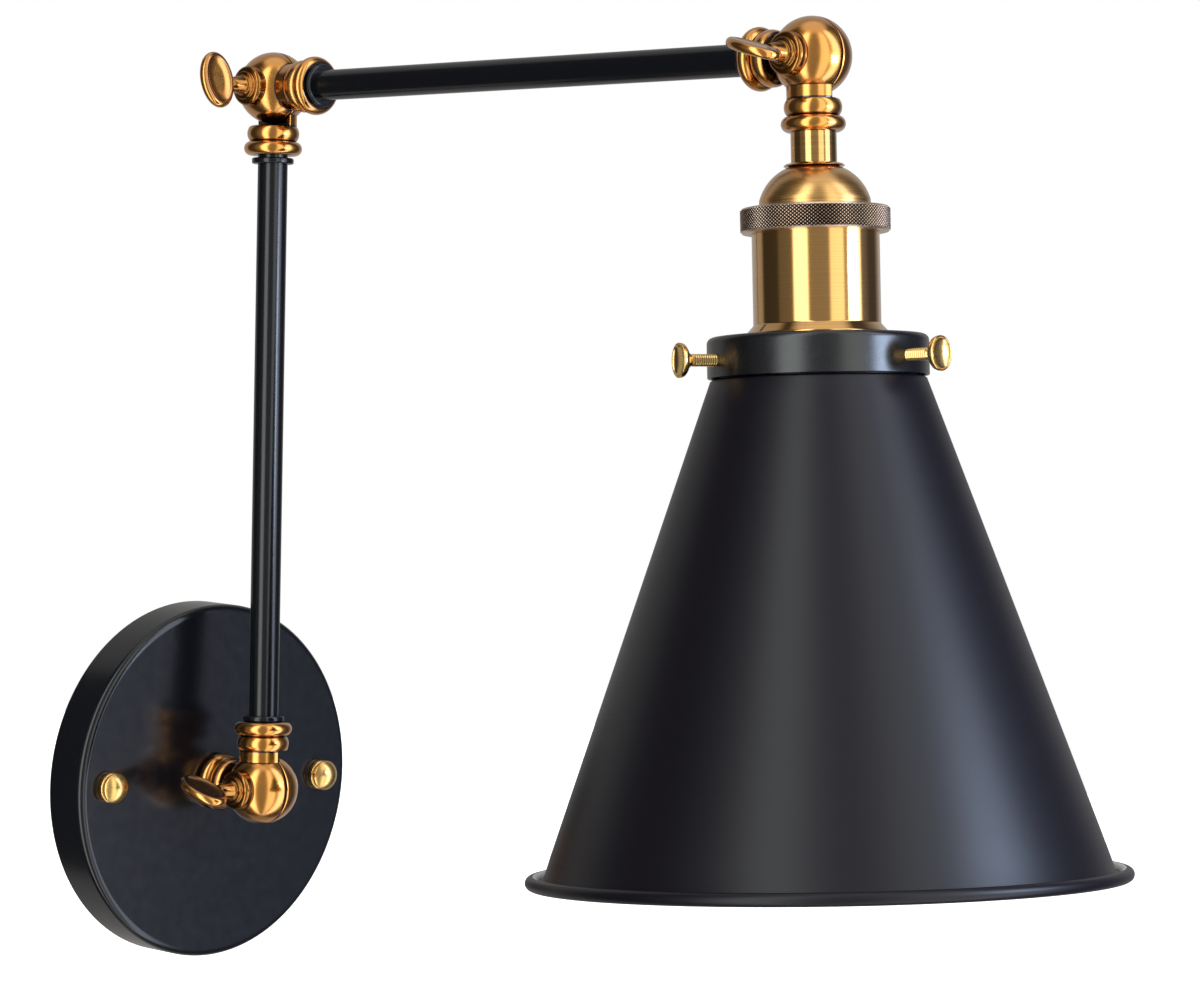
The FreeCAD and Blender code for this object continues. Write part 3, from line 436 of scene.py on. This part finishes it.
# The darkening, partly stain and partly painted shade, goes from dark to the full colour over a short
# width:
# along the seam, round the screw's seat, beside the neck, at both ends of the neck and in the collar's
# grooves.
SEAM_STAIN_AND_SHADE, SEAM_FADE, SEAT_STAIN_AND_SHADE, SEAT_FADE, SIDE_FADE = 0.15, 0.35, 1.6, 0.5, 0.6
NECK_STAIN_AND_SHADE, NECK_FADE, NECK_END_STAIN_AND_SHADE, NECK_END_FADE = 8.9, 0.5, 12.75, 0.4
COLLAR_STAIN_AND_SHADE, COLLAR_FADE = 7.5, 1.1


def knuckle_half(name, side):
    """Half a ball, its neck and its collar along Z. The near half, at -X, has a flat for the screw."""
    end_angle, end = (90, BALL) if side == FAR else (math.degrees(math.asin(SEAT / BALL)), SEAT)
    outline = [
        (0, SEAM), *((BALL - inwards, SEAM + away) for inwards, away in SEAM_EDGE),
        *arc(0, 0, BALL, SEAM_ANGLE, end_angle, 30), (0, end),
    ]
    half = turned(name, outline, STEPS)
    half.rotation_euler.y = side * math.pi / 2
    settle(half)
    record_stain_and_shade(
        half,
        lambda x, y, z: min(
            (abs(x) - SEAM_STAIN_AND_SHADE) / SEAM_FADE,
            (BALL - SEAT_STAIN_AND_SHADE - abs(x)) / SEAT_FADE if side == NEAR else 1,
            (math.hypot(x, y) - NECK) / SIDE_FADE if z > 0 else 1,
        ),
    )
    outline = [(0, NECK_ROWS[0]), *((NECK, row) for row in NECK_ROWS), (0, NECK_ROWS[-1])]
    neck = lathe(name + "_neck", outline, STEPS)
    bpy.ops.object.mode_set(mode="EDIT")
    bpy.ops.mesh.select_all(action="SELECT")
    bpy.ops.mesh.bisect(
        plane_co=(side * SEAM * MM, 0, 0), plane_no=(-side, 0, 0), use_fill=True, clear_outer=True
    )
    bpy.ops.object.mode_set(mode="OBJECT")
    soften(neck, edge=0.2)
    record_stain_and_shade(
        neck, lambda x, y, z: min((z - NECK_STAIN_AND_SHADE) / NECK_FADE, (NECK_END_STAIN_AND_SHADE - z) / NECK_END_FADE)
    )
    across, along = COLLAR_EDGE
    outline = [
        (COLLAR_BORE, TUBE_STOP), (COLLAR_BORE, COLLAR_START), (COLLAR - across, COLLAR_START),
        (COLLAR, COLLAR_START + along), *arc(*SMALL_BEAD), BEAD_GROOVE, *arc(*LARGE_BEAD),
        (COLLAR, COLLAR_END), (COLLAR_BORE, COLLAR_END), (COLLAR_BORE, TUBE_STOP),
    ]
    collar = turned(name + "_collar", outline, STEPS)
    record_stain_and_shade(collar, lambda x, y, z: (math.hypot(x, y) - COLLAR_STAIN_AND_SHADE) / COLLAR_FADE)
    join(half, neck, collar)
    return half


LOWER, ELBOW, HEAD = (-38.6, 0), (-27.940, 234.758), (-262.734, 244.599)
LOWER_TURN, UPPER_TURN, TILT = -2.6, 87.6, 174.5
for name, side, ball, turn, body in (
    ("lower_knuckle_wall_half", FAR, LOWER, -OUT_FROM_WALL, "base"),
    ("lower_knuckle_arm_half", NEAR, LOWER, LOWER_TURN, "lower_arm"),
    ("elbow_knuckle_lower_half", FAR, ELBOW, LOWER_TURN + 180, "elbow"),
    ("elbow_knuckle_upper_half", NEAR, ELBOW, UPPER_TURN, "upper_arm"),
    ("head_knuckle_arm_half", FAR, HEAD, UPPER_TURN - 180, "upper_arm"),
    ("head_knuckle_lamp_half", NEAR, HEAD, TILT, "head"),
):
    half = knuckle_half(name + "_cast", side)
    stand(half, ball, turn)
    fit(half, antique_brass, body, name)

# Wing screws: cast brass, coloured as the knuckles are. A polished boss with a stepped ring bears on the
# near half; its brass is coloured darker, a painted dark reflection. Its thin neck carries an oval paddle
# with a thick rim and dished faces.
boss_painted_dark, tree, shader = new_finish(
    "boss_brass", colour=(0.34, 0.145, 0.035), metallic=1, roughness=0.16
)
tint(tree, shader, grain(tree, cells=700), dark=(0.28, 0.115, 0.027), pale=(0.4, 0.175, 0.045))
roughen(tree, shader, grain(tree, cells=2500), low=0.13, high=0.2)

BOSS, BOSS_ROUND, BOSS_START, BOSS_END = 6.6, 1.4, 9.4, 13.29
STEP_CORNERS = ((4.9, BOSS_END), (4.6, 13.5), (4.6, 14.1), (4.4, 14.29))
WING_NECK = ((3.5, 14.45), (3.1, 15.0), (3.0, 16.2), (2.6, 18.0), (2.1, 20.0))
PADDLE_LONG, PADDLE_SHORT, PADDLE_THICK, PADDLE_ROUND = 9.5, 6.8, 3.2, 1.55
PADDLE_OFFSET, PADDLE_PLACE = 1, 25.49
DISH_STEPS = ((0.25, 0.05), (0.35, 0.15), (0.5, 0.14), (0.7, 0.12), (0.8, 0.08), (0.6, 0.03))
# Painted shade on the paddle: one face darker, fading to its full colour across the thickness.
FACE_ON, PADDLE_PAINTED_SHADE, PADDLE_SHADE_FADE = 0.9, 0.45, 2


def wing_screw(name):
    """A boss and neck along -X with the paddle at their end, and how many faces the first two have."""
    outline = [
        (0, BOSS_START), (BOSS, BOSS_START),
        *arc(BOSS - BOSS_ROUND, BOSS_END - BOSS_ROUND, BOSS_ROUND, 0, 90, 6),
        *STEP_CORNERS, *WING_NECK, (0, WING_NECK[-1][1]),
    ]
    stem = turned(name, outline, steps=64, edge=0.12)
    stem_faces = len(stem.data.polygons)
    bpy.ops.object.select_all(action="DESELECT")
    bpy.ops.mesh.primitive_circle_add(
        vertices=72, radius=1, fill_type="NGON", rotation=(0, math.pi / 2, 0),
        location=(PADDLE_THICK / 2 * MM, PADDLE_OFFSET * MM, PADDLE_PLACE * MM),
    )
    paddle = bpy.context.object
    paddle.scale = (PADDLE_SHORT * MM, PADDLE_LONG * MM, 1)
    bpy.ops.object.transform_apply(location=False, rotation=False, scale=True)
    bpy.ops.object.mode_set(mode="EDIT")
    bpy.ops.mesh.select_all(action="SELECT")
    bpy.ops.mesh.extrude_region_move(TRANSFORM_OT_translate={"value": (-PADDLE_THICK * MM, 0, 0)})
    bpy.ops.mesh.select_all(action="SELECT")
    bpy.ops.mesh.normals_make_consistent(inside=False)
    bpy.ops.object.mode_set(mode="OBJECT")
    apply_modifier(paddle, "BEVEL", width=PADDLE_ROUND * MM, segments=6, limit_method="ANGLE")
    bpy.ops.object.mode_set(mode="EDIT")
    bpy.ops.mesh.select_mode(type="FACE")
    for outwards in (1, -1):
        bpy.ops.mesh.select_all(action="DESELECT")
        bpy.ops.object.mode_set(mode="OBJECT")
        flat_faces = [face for face in paddle.data.polygons if face.normal.z * outwards > FACE_ON]
        max(flat_faces, key=lambda face: face.area).select = True
        bpy.ops.object.mode_set(mode="EDIT")
        for width, depth in DISH_STEPS:
            bpy.ops.mesh.inset(thickness=width * MM, depth=-depth * MM)
    bpy.ops.object.mode_set(mode="OBJECT")
    soften(paddle, edge=0)
    # The paddle's own z still runs through its thickness here, and one face is painted darker, as shade.
    record_stain_and_shade(paddle, lambda x, y, z: PADDLE_PAINTED_SHADE + abs(z) / PADDLE_SHADE_FADE)
    settle(paddle)
    join(stem, paddle)
    stem.rotation_euler = (0, -math.pi / 2, 0)
    settle(stem)
    return stem, stem_faces


for knuckle, ball, turn in (("lower", LOWER, 21), ("elbow", ELBOW, 75), ("head", HEAD, 14)):
    screw, boss_faces = wing_screw(f"{knuckle}_wing_screw_cast")
    stand(screw, ball, turn)
    fit(screw, antique_brass, f"{knuckle}_wing", f"{knuckle}_wing_screw")
    screw.data.materials.append(boss_painted_dark)
    for face in screw.data.polygons[:boss_faces]:
        face.material_index = 1

# Arms: two like steel tubes in the same black coat as the plate, threaded into the collars. Each end has
# a black lock ring with soft edges, and the one under the elbow stands clear of its collar.
ARM_LENGTH, TUBE, TUBE_BORE, TUBE_START = 235, 5, 4, 14.8
RING, RING_ROUND, RING_THICK, STAND_OFF = 7, 0.6, 2, 0.8


def tube_outline(inside, outside, start, end):
    """The outline of a plain tube, between two radii and two distances."""
    return [(inside, start), (outside, start), (outside, end), (inside, end), (inside, start)]


for arm, ball, turn, stand_off in (
    ("lower_arm", LOWER, LOWER_TURN, STAND_OFF), ("upper_arm", ELBOW, UPPER_TURN, 0)
):
    outline = tube_outline(TUBE_BORE, TUBE, TUBE_START, ARM_LENGTH - TUBE_START)
    tube = turned(f"{arm}_pipe", outline, steps=64, edge=0.1)
    stand(tube, ball, turn)
    fit(tube, black_coat, arm, f"{arm}_tube")
    far_start = ARM_LENGTH - COLLAR_END - RING_THICK - stand_off
    for which, start in (("near", COLLAR_END), ("far", far_start)):
        end = start + RING_THICK
        outline = [
            (COLLAR_BORE, start), *arc(RING - RING_ROUND, start + RING_ROUND, RING_ROUND, -90, 0, 5),
            *arc(RING - RING_ROUND, end - RING_ROUND, RING_ROUND, 0, 90, 5),
            (COLLAR_BORE, end), (COLLAR_BORE, start),
        ]
        ring = turned(f"{arm}_{which}_lock_ring", outline, steps=64)
        stand(ring, ball, turn)
        fit(ring, black_coat, arm, f"{arm}_lock_rings")

# Stem: a short brass sleeve over the nipple, on a thin brass washer. Both are turned and brushed on the
# lathe, so fine lines run round them.


def lathe_lines(tree, lines):
    """Fine lines round the lamp's axis, which change only with the distance along it and from it."""
    coordinates = tree.nodes.new("ShaderNodeTexCoord")
    mapping = tree.nodes.new("ShaderNodeMapping")
    mapping.vector_type = "TEXTURE"
    mapping.inputs["Location"].default_value = (0, HEAD[0] * MM, HEAD[1] * MM)
    mapping.inputs["Rotation"].default_value = (math.radians(TILT), 0, 0)
    parts = tree.nodes.new("ShaderNodeSeparateXYZ")
    flat = tree.nodes.new("ShaderNodeCombineXYZ")
    across = tree.nodes.new("ShaderNodeVectorMath")
    across.operation = "LENGTH"
    lines_place = tree.nodes.new("ShaderNodeCombineXYZ")
    noise = tree.nodes.new("ShaderNodeTexNoise")
    noise.inputs["Scale"].default_value = lines
    noise.inputs["Detail"].default_value = 4
    link(tree, coordinates.outputs["Object"], mapping.inputs["Vector"])
    link(tree, mapping.outputs["Vector"], parts.inputs["Vector"])
    link(tree, parts.outputs["X"], flat.inputs["X"])
    link(tree, parts.outputs["Y"], flat.inputs["Y"])
    link(tree, flat.outputs["Vector"], across.inputs[0])
    link(tree, across.outputs["Value"], lines_place.inputs["X"])
    link(tree, parts.outputs["Z"], lines_place.inputs["Z"])
    link(tree, lines_place.outputs["Vector"], noise.inputs["Vector"])
    return noise.outputs["Fac"]


def lathe_brass(name, low, high):
    """Yellow brass with lathe lines under a clear lacquer, between two roughness limits."""
    finish, tree, shader = new_finish(name, colour=(0.74, 0.38, 0.08), metallic=1, roughness=high)
    lines = lathe_lines(tree, lines=4000)
    tint(tree, shader, lines, dark=(0.6, 0.29, 0.055), pale=(0.82, 0.44, 0.1))
    roughen(tree, shader, lines, low, high)
    relief(tree, shader, lines, depth=0.000001)
    shader.inputs["Coat Weight"].default_value = 1
    shader.inputs["Coat IOR"].default_value = 1.75
    shader.inputs["Coat Roughness"].default_value = low
    return finish


def fit_to_lamp(piece, finish, solid):
    """Stands a piece on the lamp's axis, under the head knuckle, and fits it there."""
    stand(piece, HEAD, TILT)
    fit(piece, finish, "head", solid)


brushed_brass = lathe_brass("brushed_brass", low=0.08, high=0.14)
SLEEVE, SLEEVE_END, WASHER_END = 6.85, 31.9, 32.9
WASHER_CORNERS = ((7.4, SLEEVE_END), (8.6, 32.2), (9.2, 32.75), (8.9, WASHER_END))
sleeve_outline = tube_outline(NIPPLE_HOLE, SLEEVE, COLLAR_END, SLEEVE_END)
sleeve = turned("stem_sleeve_tube", sleeve_outline, steps=64, edge=0.15)
fit_to_lamp(sleeve, brushed_brass, "stem_sleeve")
washer_outline = [
    (NIPPLE_HOLE, SLEEVE_END), *WASHER_CORNERS, (NIPPLE_HOLE, WASHER_END), (NIPPLE_HOLE, SLEEVE_END)
]
washer = turned("sleeve_washer_disc", washer_outline, steps=64, edge=0.08)
fit_to_lamp(washer, brushed_brass, "sleeve_washer")

# Lampholder: a spun brass dome, a shell with a flared foot, and between them the knurled ring that screws
# them together. The knurl is rolled, and its grooves are coloured dark, partly dirt and partly painted
# shade.
spun_brass = lathe_brass("spun_brass", low=0.25, high=0.32)
DOME_OUTSIDE, DOME_INSIDE = (2.29, 46.79, 14.8, -69.8, -14.8, 16), (2.31, 46.74, 13.9, -15.6, -68.5, 14)
DOME_FOOT, DOME_FOOT_BORE, DOME_SHEET = 16.6, 15.7, 0.9
FLANGE, FLANGE_START, FLANGE_END = 18.85, 47.0, 48.2
cap_outline = [
    (NIPPLE_HOLE, WASHER_END), *arc(*DOME_OUTSIDE), (DOME_FOOT, FLANGE_START), (FLANGE, FLANGE_START),
    (FLANGE, FLANGE_END), (DOME_FOOT_BORE, FLANGE_END), *arc(*DOME_INSIDE),
    (NIPPLE_HOLE, WASHER_END + DOME_SHEET), (NIPPLE_HOLE, WASHER_END),
]
cap = turned("lampholder_dome", cap_outline, STEPS, edge=0.1)
fit_to_lamp(cap, spun_brass, "lampholder_cap")

SHELL, SHELL_BORE, SHELL_START, SHELL_END, FOOT = 19, 18.2, 50.2, 83.3, 21.3
FOOT_CORNERS = ((SHELL, 79.7), (19.15, 80.1), (21.15, 82.3), (FOOT, 82.7))
shell_outline = [
    (SHELL_BORE, SHELL_START), (SHELL, SHELL_START), *FOOT_CORNERS, (FOOT, SHELL_END),
    (SHELL_BORE, SHELL_END), (SHELL_BORE, SHELL_START),
]
shell = turned("lampholder_tube", shell_outline, STEPS, edge=0.1)
fit_to_lamp(shell, brushed_brass, "lampholder_shell")

knurl_brass, tree, shader = new_finish("knurl_brass", colour=(0.5, 0.4, 0.3), metallic=1, roughness=0.3)
# Dark in the grooves and pale on the points: partly dirt, partly painted shade.
stained_and_shaded(tree, shader, dark=(0.03, 0.02, 0.015), pale=(0.98, 0.76, 0.6))
roughen(tree, shader, grain(tree, cells=1200), low=0.25, high=0.36)

# The knurl is a band of cells, of which every second corner is drawn out to make points.
KNURL, KNURL_DEPTH, KNURL_START, KNURL_HEIGHT = 22.4, 0.45, 45.8, 6.2
DIAMONDS, ROWS = 112, 12
bpy.ops.object.select_all(action="DESELECT")
bpy.ops.mesh.primitive_cylinder_add(
    vertices=2 * DIAMONDS, radius=(KNURL - KNURL_DEPTH) * MM, depth=KNURL_HEIGHT * MM,
    end_fill_type="NOTHING", location=(0, 0, (KNURL_START + KNURL_HEIGHT / 2) * MM),
)
knurled_ring = bpy.context.object
knurled_ring.name = knurled_ring.data.name = "knurled_ring_rolled"
settle(knurled_ring)
bpy.ops.object.mode_set(mode="EDIT")
bpy.ops.mesh.select_mode(type="EDGE")
bpy.ops.mesh.select_all(action="DESELECT")
bpy.ops.object.mode_set(mode="OBJECT")
for edge in knurled_ring.data.edges:
    first, last = (knurled_ring.data.vertices[i].co for i in edge.vertices)
    edge.select = abs(first.z - last.z) > MM
bpy.ops.object.mode_set(mode="EDIT")
bpy.ops.mesh.subdivide(number_cuts=ROWS - 1)
bpy.ops.mesh.select_mode(type="VERT")
bpy.ops.mesh.select_all(action="DESELECT")
bpy.ops.object.mode_set(mode="OBJECT")
for corner in knurled_ring.data.vertices:
    column = round(math.atan2(corner.co.y, corner.co.x) / math.pi * DIAMONDS)
    row = round((corner.co.z / MM - KNURL_START) / KNURL_HEIGHT * ROWS)
    corner.select = (column + row) % 2 == 0
bpy.ops.object.mode_set(mode="EDIT")
growth = KNURL / (KNURL - KNURL_DEPTH)
bpy.ops.transform.resize(value=(growth, growth, 1), center_override=(0, 0, 0))
bpy.ops.mesh.select_mode(type="FACE")
bpy.ops.mesh.select_all(action="SELECT")
bpy.ops.mesh.quads_convert_to_tris(quad_method="SHORTEST_DIAGONAL")
bpy.ops.object.mode_set(mode="OBJECT")
# The grooves are painted dark and the points pale, partly as dirt and partly as shade.
record_stain_and_shade(knurled_ring, lambda x, y, z: (math.hypot(x, y) - KNURL) / KNURL_DEPTH + 1)

BAND, BAND_EDGE, BAND_START, BAND_END, BAND_STAIN = 21.8, (0.3, 0.55), 45.2, 52.6, 0.65
DOME_HOLE, SHELL_HOLE = 16.75, 19.05
across, along = BAND_EDGE
band_outline = [
    (BAND + across, BAND_START + along), (BAND, BAND_START), (DOME_HOLE, BAND_START),
    (DOME_HOLE, FLANGE_START), (SHELL_HOLE, FLANGE_START), (SHELL_HOLE, BAND_END), (BAND, BAND_END),
    (BAND + across, BAND_END - along),
]
band = turned("knurled_ring_core", band_outline, steps=2 * DIAMONDS, edge=0.1)
record_stain_and_shade(band, lambda x, y, z: BAND_STAIN)
join(knurled_ring, band)
bpy.ops.object.mode_set(mode="EDIT")
bpy.ops.mesh.select_mode(type="EDGE")
bpy.ops.mesh.select_all(action="DESELECT")
bpy.ops.mesh.select_non_manifold()
bpy.ops.mesh.bridge_edge_loops(type="PAIRS")
bpy.ops.object.mode_set(mode="OBJECT")
fit_to_lamp(knurled_ring, knurl_brass, "knurled_ring")

# Lampholder inside: a glazed porcelain liner with a core pressed into its top, the brass screw shell
# under it and the centre contact in the core's pocket. A black plastic ring on the liner's skirt holds
# the fitter up.
porcelain, tree, shader = new_finish(
    "glazed_porcelain", colour=(0.82, 0.8, 0.75), metallic=0, roughness=0.14
)
tint(tree, shader, grain(tree, cells=120), dark=(0.78, 0.76, 0.71), pale=(0.85, 0.83, 0.78))
relief(tree, shader, grain(tree, cells=300, detail=1), depth=0.00002)
LINER, LINER_BORE, LINER_END = 17.9, 13.85, 93.5
liner_outline = [
    (LINER_BORE, FLANGE_END), (FLANGE, FLANGE_END), (FLANGE, SHELL_START), (LINER, SHELL_START),
    (LINER, LINER_END), (LINER_BORE, LINER_END), (LINER_BORE, FLANGE_END),
]
liner = turned("lampholder_liner_porcelain", liner_outline, STEPS, edge=0.3)
fit_to_lamp(liner, porcelain, "lampholder_liner")
CORE, CORE_END, POCKET, POCKET_FLOOR = 13.8, 63.6, 6, 60
core_outline = [
    (0, FLANGE_END), (CORE, FLANGE_END), (CORE, CORE_END), (POCKET, CORE_END), (POCKET, POCKET_FLOOR),
    (0, POCKET_FLOOR),
]
core = turned("lampholder_core_porcelain", core_outline, STEPS, edge=0.3)
fit_to_lamp(core, porcelain, "lampholder_core")

SOCKET, SOCKET_BORE, SOCKET_END = 13.7, 13.1, 92.5
SOCKET_LIP, LIP_ROOT, LIP_END = 12.1, 13.0, 64.2
WAVE_START, WAVE_LENGTH, WAVE_DEPTH, WAVES, WAVE_STEPS = 91.2, 3.6, 0.42, 7, 8
waves = [
    (
        SOCKET_BORE - WAVE_DEPTH * (1 - math.cos(2 * math.pi * i / WAVE_STEPS)),
        WAVE_START - i * WAVE_LENGTH / WAVE_STEPS,
    )
    for i in range(WAVES * WAVE_STEPS + 1)
]
socket_outline = [
    (SOCKET_LIP, CORE_END), (SOCKET, CORE_END), (SOCKET, SOCKET_END), (SOCKET_BORE, SOCKET_END), *waves,
    (LIP_ROOT, LIP_END), (SOCKET_LIP, LIP_END), (SOCKET_LIP, CORE_END),
]
screw_shell = turned("screw_shell_thread", socket_outline, STEPS)
fit_to_lamp(screw_shell, plain_brass, "screw_shell")
CONTACT, CONTACT_TOP, CONTACT_DOME = 4.5, 60.8, 2.6
contact_outline = [
    (0, POCKET_FLOOR), (CONTACT, POCKET_FLOOR), (CONTACT, CONTACT_TOP),
    *arc(0, CONTACT_TOP, CONTACT_DOME, 0, 90, 8),
]
contact = turned("centre_contact_spring", contact_outline, steps=48, edge=0.1)
fit_to_lamp(contact, plain_brass, "centre_contact")

black_plastic, tree, shader = new_finish(
    "moulded_black", colour=(0.02, 0.02, 0.02), metallic=0, roughness=0.45
)
relief(tree, shader, grain(tree, cells=3000), depth=0.00002)
HOLDER, HOLDER_BORE, HOLDER_START, HOLDER_END = 23.3, 17.95, 84.5, 88.1
holder_outline = tube_outline(HOLDER_BORE, HOLDER, HOLDER_START, HOLDER_END)
shade_ring = turned("shade_ring_moulded", holder_outline, steps=64, edge=0.4)
fit_to_lamp(shade_ring, black_plastic, "shade_ring")

# Shade fitter: a shallow cup pressed from steel sheet, under the foot of the lampholder. Its black coat
# is a little duller than the plate's, and its wall takes the three thumbscrews.
fitter_black, tree, shader = new_finish(
    "fitter_black", colour=(0.005, 0.005, 0.007), metallic=0, roughness=0.27
)
shader.inputs["Specular IOR Level"].default_value = 0.7
roughen(tree, shader, grain(tree, cells=260), low=0.25, high=0.29)
relief(tree, shader, grain(tree, cells=900, detail=2), depth=0.000006)
FITTER, FITTER_FLAT, FITTER_HOLE, FITTER_SHEET, FITTER_END = 33, 30.9, 18.05, 1.2, 95.5
FITTER_ROUND, INNER_ROUND = 1.9, 1.2
fitter_wall, fitter_floor = FITTER - FITTER_SHEET, SHELL_END + FITTER_SHEET
fitter_outline = [
    (FITTER_HOLE, SHELL_END), (FITTER_FLAT, SHELL_END),
    *arc(FITTER - FITTER_ROUND, SHELL_END + FITTER_ROUND, FITTER_ROUND, -90, 0, 6),
    (FITTER, FITTER_END), (fitter_wall, FITTER_END),
    *arc(fitter_wall - INNER_ROUND, fitter_floor + INNER_ROUND, INNER_ROUND, 0, -90, 6),
    (FITTER_HOLE, fitter_floor), (FITTER_HOLE, SHELL_END),
]
fitter = turned("shade_fitter_cup", fitter_outline, steps=128, edge=0.3)
fit_to_lamp(fitter, fitter_black, "shade_fitter")

# Thumbscrews: turned from brass and polished, with a fine thread and a dished round head. Their tips
# press on the neck of the shade.
polished_brass, tree, shader = new_finish(
    "mirror_brass", colour=(0.86, 0.58, 0.22), metallic=1, roughness=0.2
)
tint(tree, shader, grain(tree, cells=900), dark=(0.8, 0.5, 0.16), pale=(0.92, 0.64, 0.27))
roughen(tree, shader, grain(tree, cells=3000), low=0.17, high=0.23)
SCREW_LEVEL = 90.5
SHANK, SHANK_TIP, TIP_START = 1.9, 1.5, 29.4
THREAD_START, THREAD_END, THREAD_PITCH, THREAD_DEPTH = 29.8, 40.4, 0.7, 0.15
HEAD_BACK = (
    (1.7, 40.6), (SHANK, 40.8), (2.5, 41.5), (3.3, 42.1), (4.2, 42.5), (4.85, 43.05), (5.1, 43.6),
    (5.2, 44.2),
)
HEAD_RIM = (4.92, 44.42, 0.28, 0, 180, 6)
HEAD_DISH = ((4.4, 44.1), (3.8, 43.85), (3.0, 43.6), (2.0, 43.4), (1, 43.32), (0, 43.3))
screw_outline = [(0, TIP_START), (SHANK_TIP, TIP_START)]
for i in range(int((THREAD_END - THREAD_START) / THREAD_PITCH)):
    start = THREAD_START + i * THREAD_PITCH
    screw_outline += [(SHANK - THREAD_DEPTH, start), (SHANK, start + THREAD_PITCH / 2)]
screw_outline += [*HEAD_BACK, *arc(*HEAD_RIM), *HEAD_DISH]
for side, degrees in (("front", 86.8), ("left", 206.8), ("right", 326.8)):
    screw = turned(f"thumbscrew_{side}_turned", screw_outline, steps=80)
    screw.rotation_euler = (0, math.pi / 2, math.radians(degrees))
    screw.location.z = SCREW_LEVEL * MM
    settle(screw)
    stand(screw, HEAD, TILT)
    fit(screw, polished_brass, f"{side}_thumbscrew", f"thumbscrew_{side}")

# Shade: a cone spun from steel sheet, with a neck and lip inside the fitter and a rim turned out and
# rolled into a bead. It is coated black outside, with fine spinning lines, and white inside.
shade_black, tree, shader = new_finish(
    "shade_black", colour=(0.004, 0.0025, 0.007), metallic=0, roughness=0.38
)
shader.inputs["Specular IOR Level"].default_value = 0.4
roughen(tree, shader, lathe_lines(tree, lines=1500), low=0.37, high=0.4)
relief(tree, shader, grain(tree, cells=900, detail=2), depth=0.000006)
shade_white, tree, shader = new_finish("shade_white", colour=(0.8, 0.79, 0.77), metallic=0, roughness=0.4)
relief(tree, shader, grain(tree, cells=2600, detail=2), depth=0.000012)

SHADE_NECK, SHADE_BORE = 29.4, 28.6
SHADE_LIP, SHADE_LIP_START, SHADE_LIP_END = 31.0, 87.2, 88.4
CONE_START, CONE_OUTSIDE, CONE_INSIDE, SLOPE = 95.8, 32, 31.15, 53 / 147.8
CONE_ROWS = (6, 30, 60, 90, 120, 140)
SHOULDER_OUTSIDE, SHOULDER_INSIDE = ((31.4, CONE_START), (32.2, 96.4)), ((31.4, 97.4), (SHADE_BORE, 96.6))
RIM_OUTSIDE = ((84.4, 242.3), (85.1, 243.0), (86.1, 243.3))
RIM_INSIDE = ((86.1, 243.95), (84.2, 244.0), (83.4, 243.2))
RIM_BEAD = (88, 243.6, 2, -170, 170, 20)
WHITE_END, FACING_IN = 243.2, -0.3
shade_outline = [
    (SHADE_BORE, SHADE_LIP_START), (SHADE_LIP, SHADE_LIP_START), (SHADE_LIP, SHADE_LIP_END),
    (SHADE_NECK, SHADE_LIP_END), (SHADE_NECK, CONE_START), *SHOULDER_OUTSIDE,
    *((CONE_OUTSIDE + SLOPE * row, CONE_START + row) for row in CONE_ROWS),
    *RIM_OUTSIDE, *arc(*RIM_BEAD), *RIM_INSIDE,
    *((CONE_INSIDE + SLOPE * row, CONE_START + row) for row in reversed(CONE_ROWS)),
    *SHOULDER_INSIDE, (SHADE_BORE, SHADE_LIP_START),
]
shade = turned("shade_cone", shade_outline, steps=192)
fit_to_lamp(shade, shade_black, "shade")
shade.data.materials.append(shade_white)
lean = math.radians(180 - TILT)
axis_down = Vector((0, -math.sin(lean), -math.cos(lean)))
lamp_top = Vector((0, HEAD[0] * MM, HEAD[1] * MM))
for face in shade.data.polygons:
    distance = (face.center - lamp_top).dot(axis_down)
    outwards = face.center - lamp_top - axis_down * distance
    if face.normal.dot(outwards.normalized()) < FACING_IN and distance < WHITE_END * MM:
        face.material_index = 1
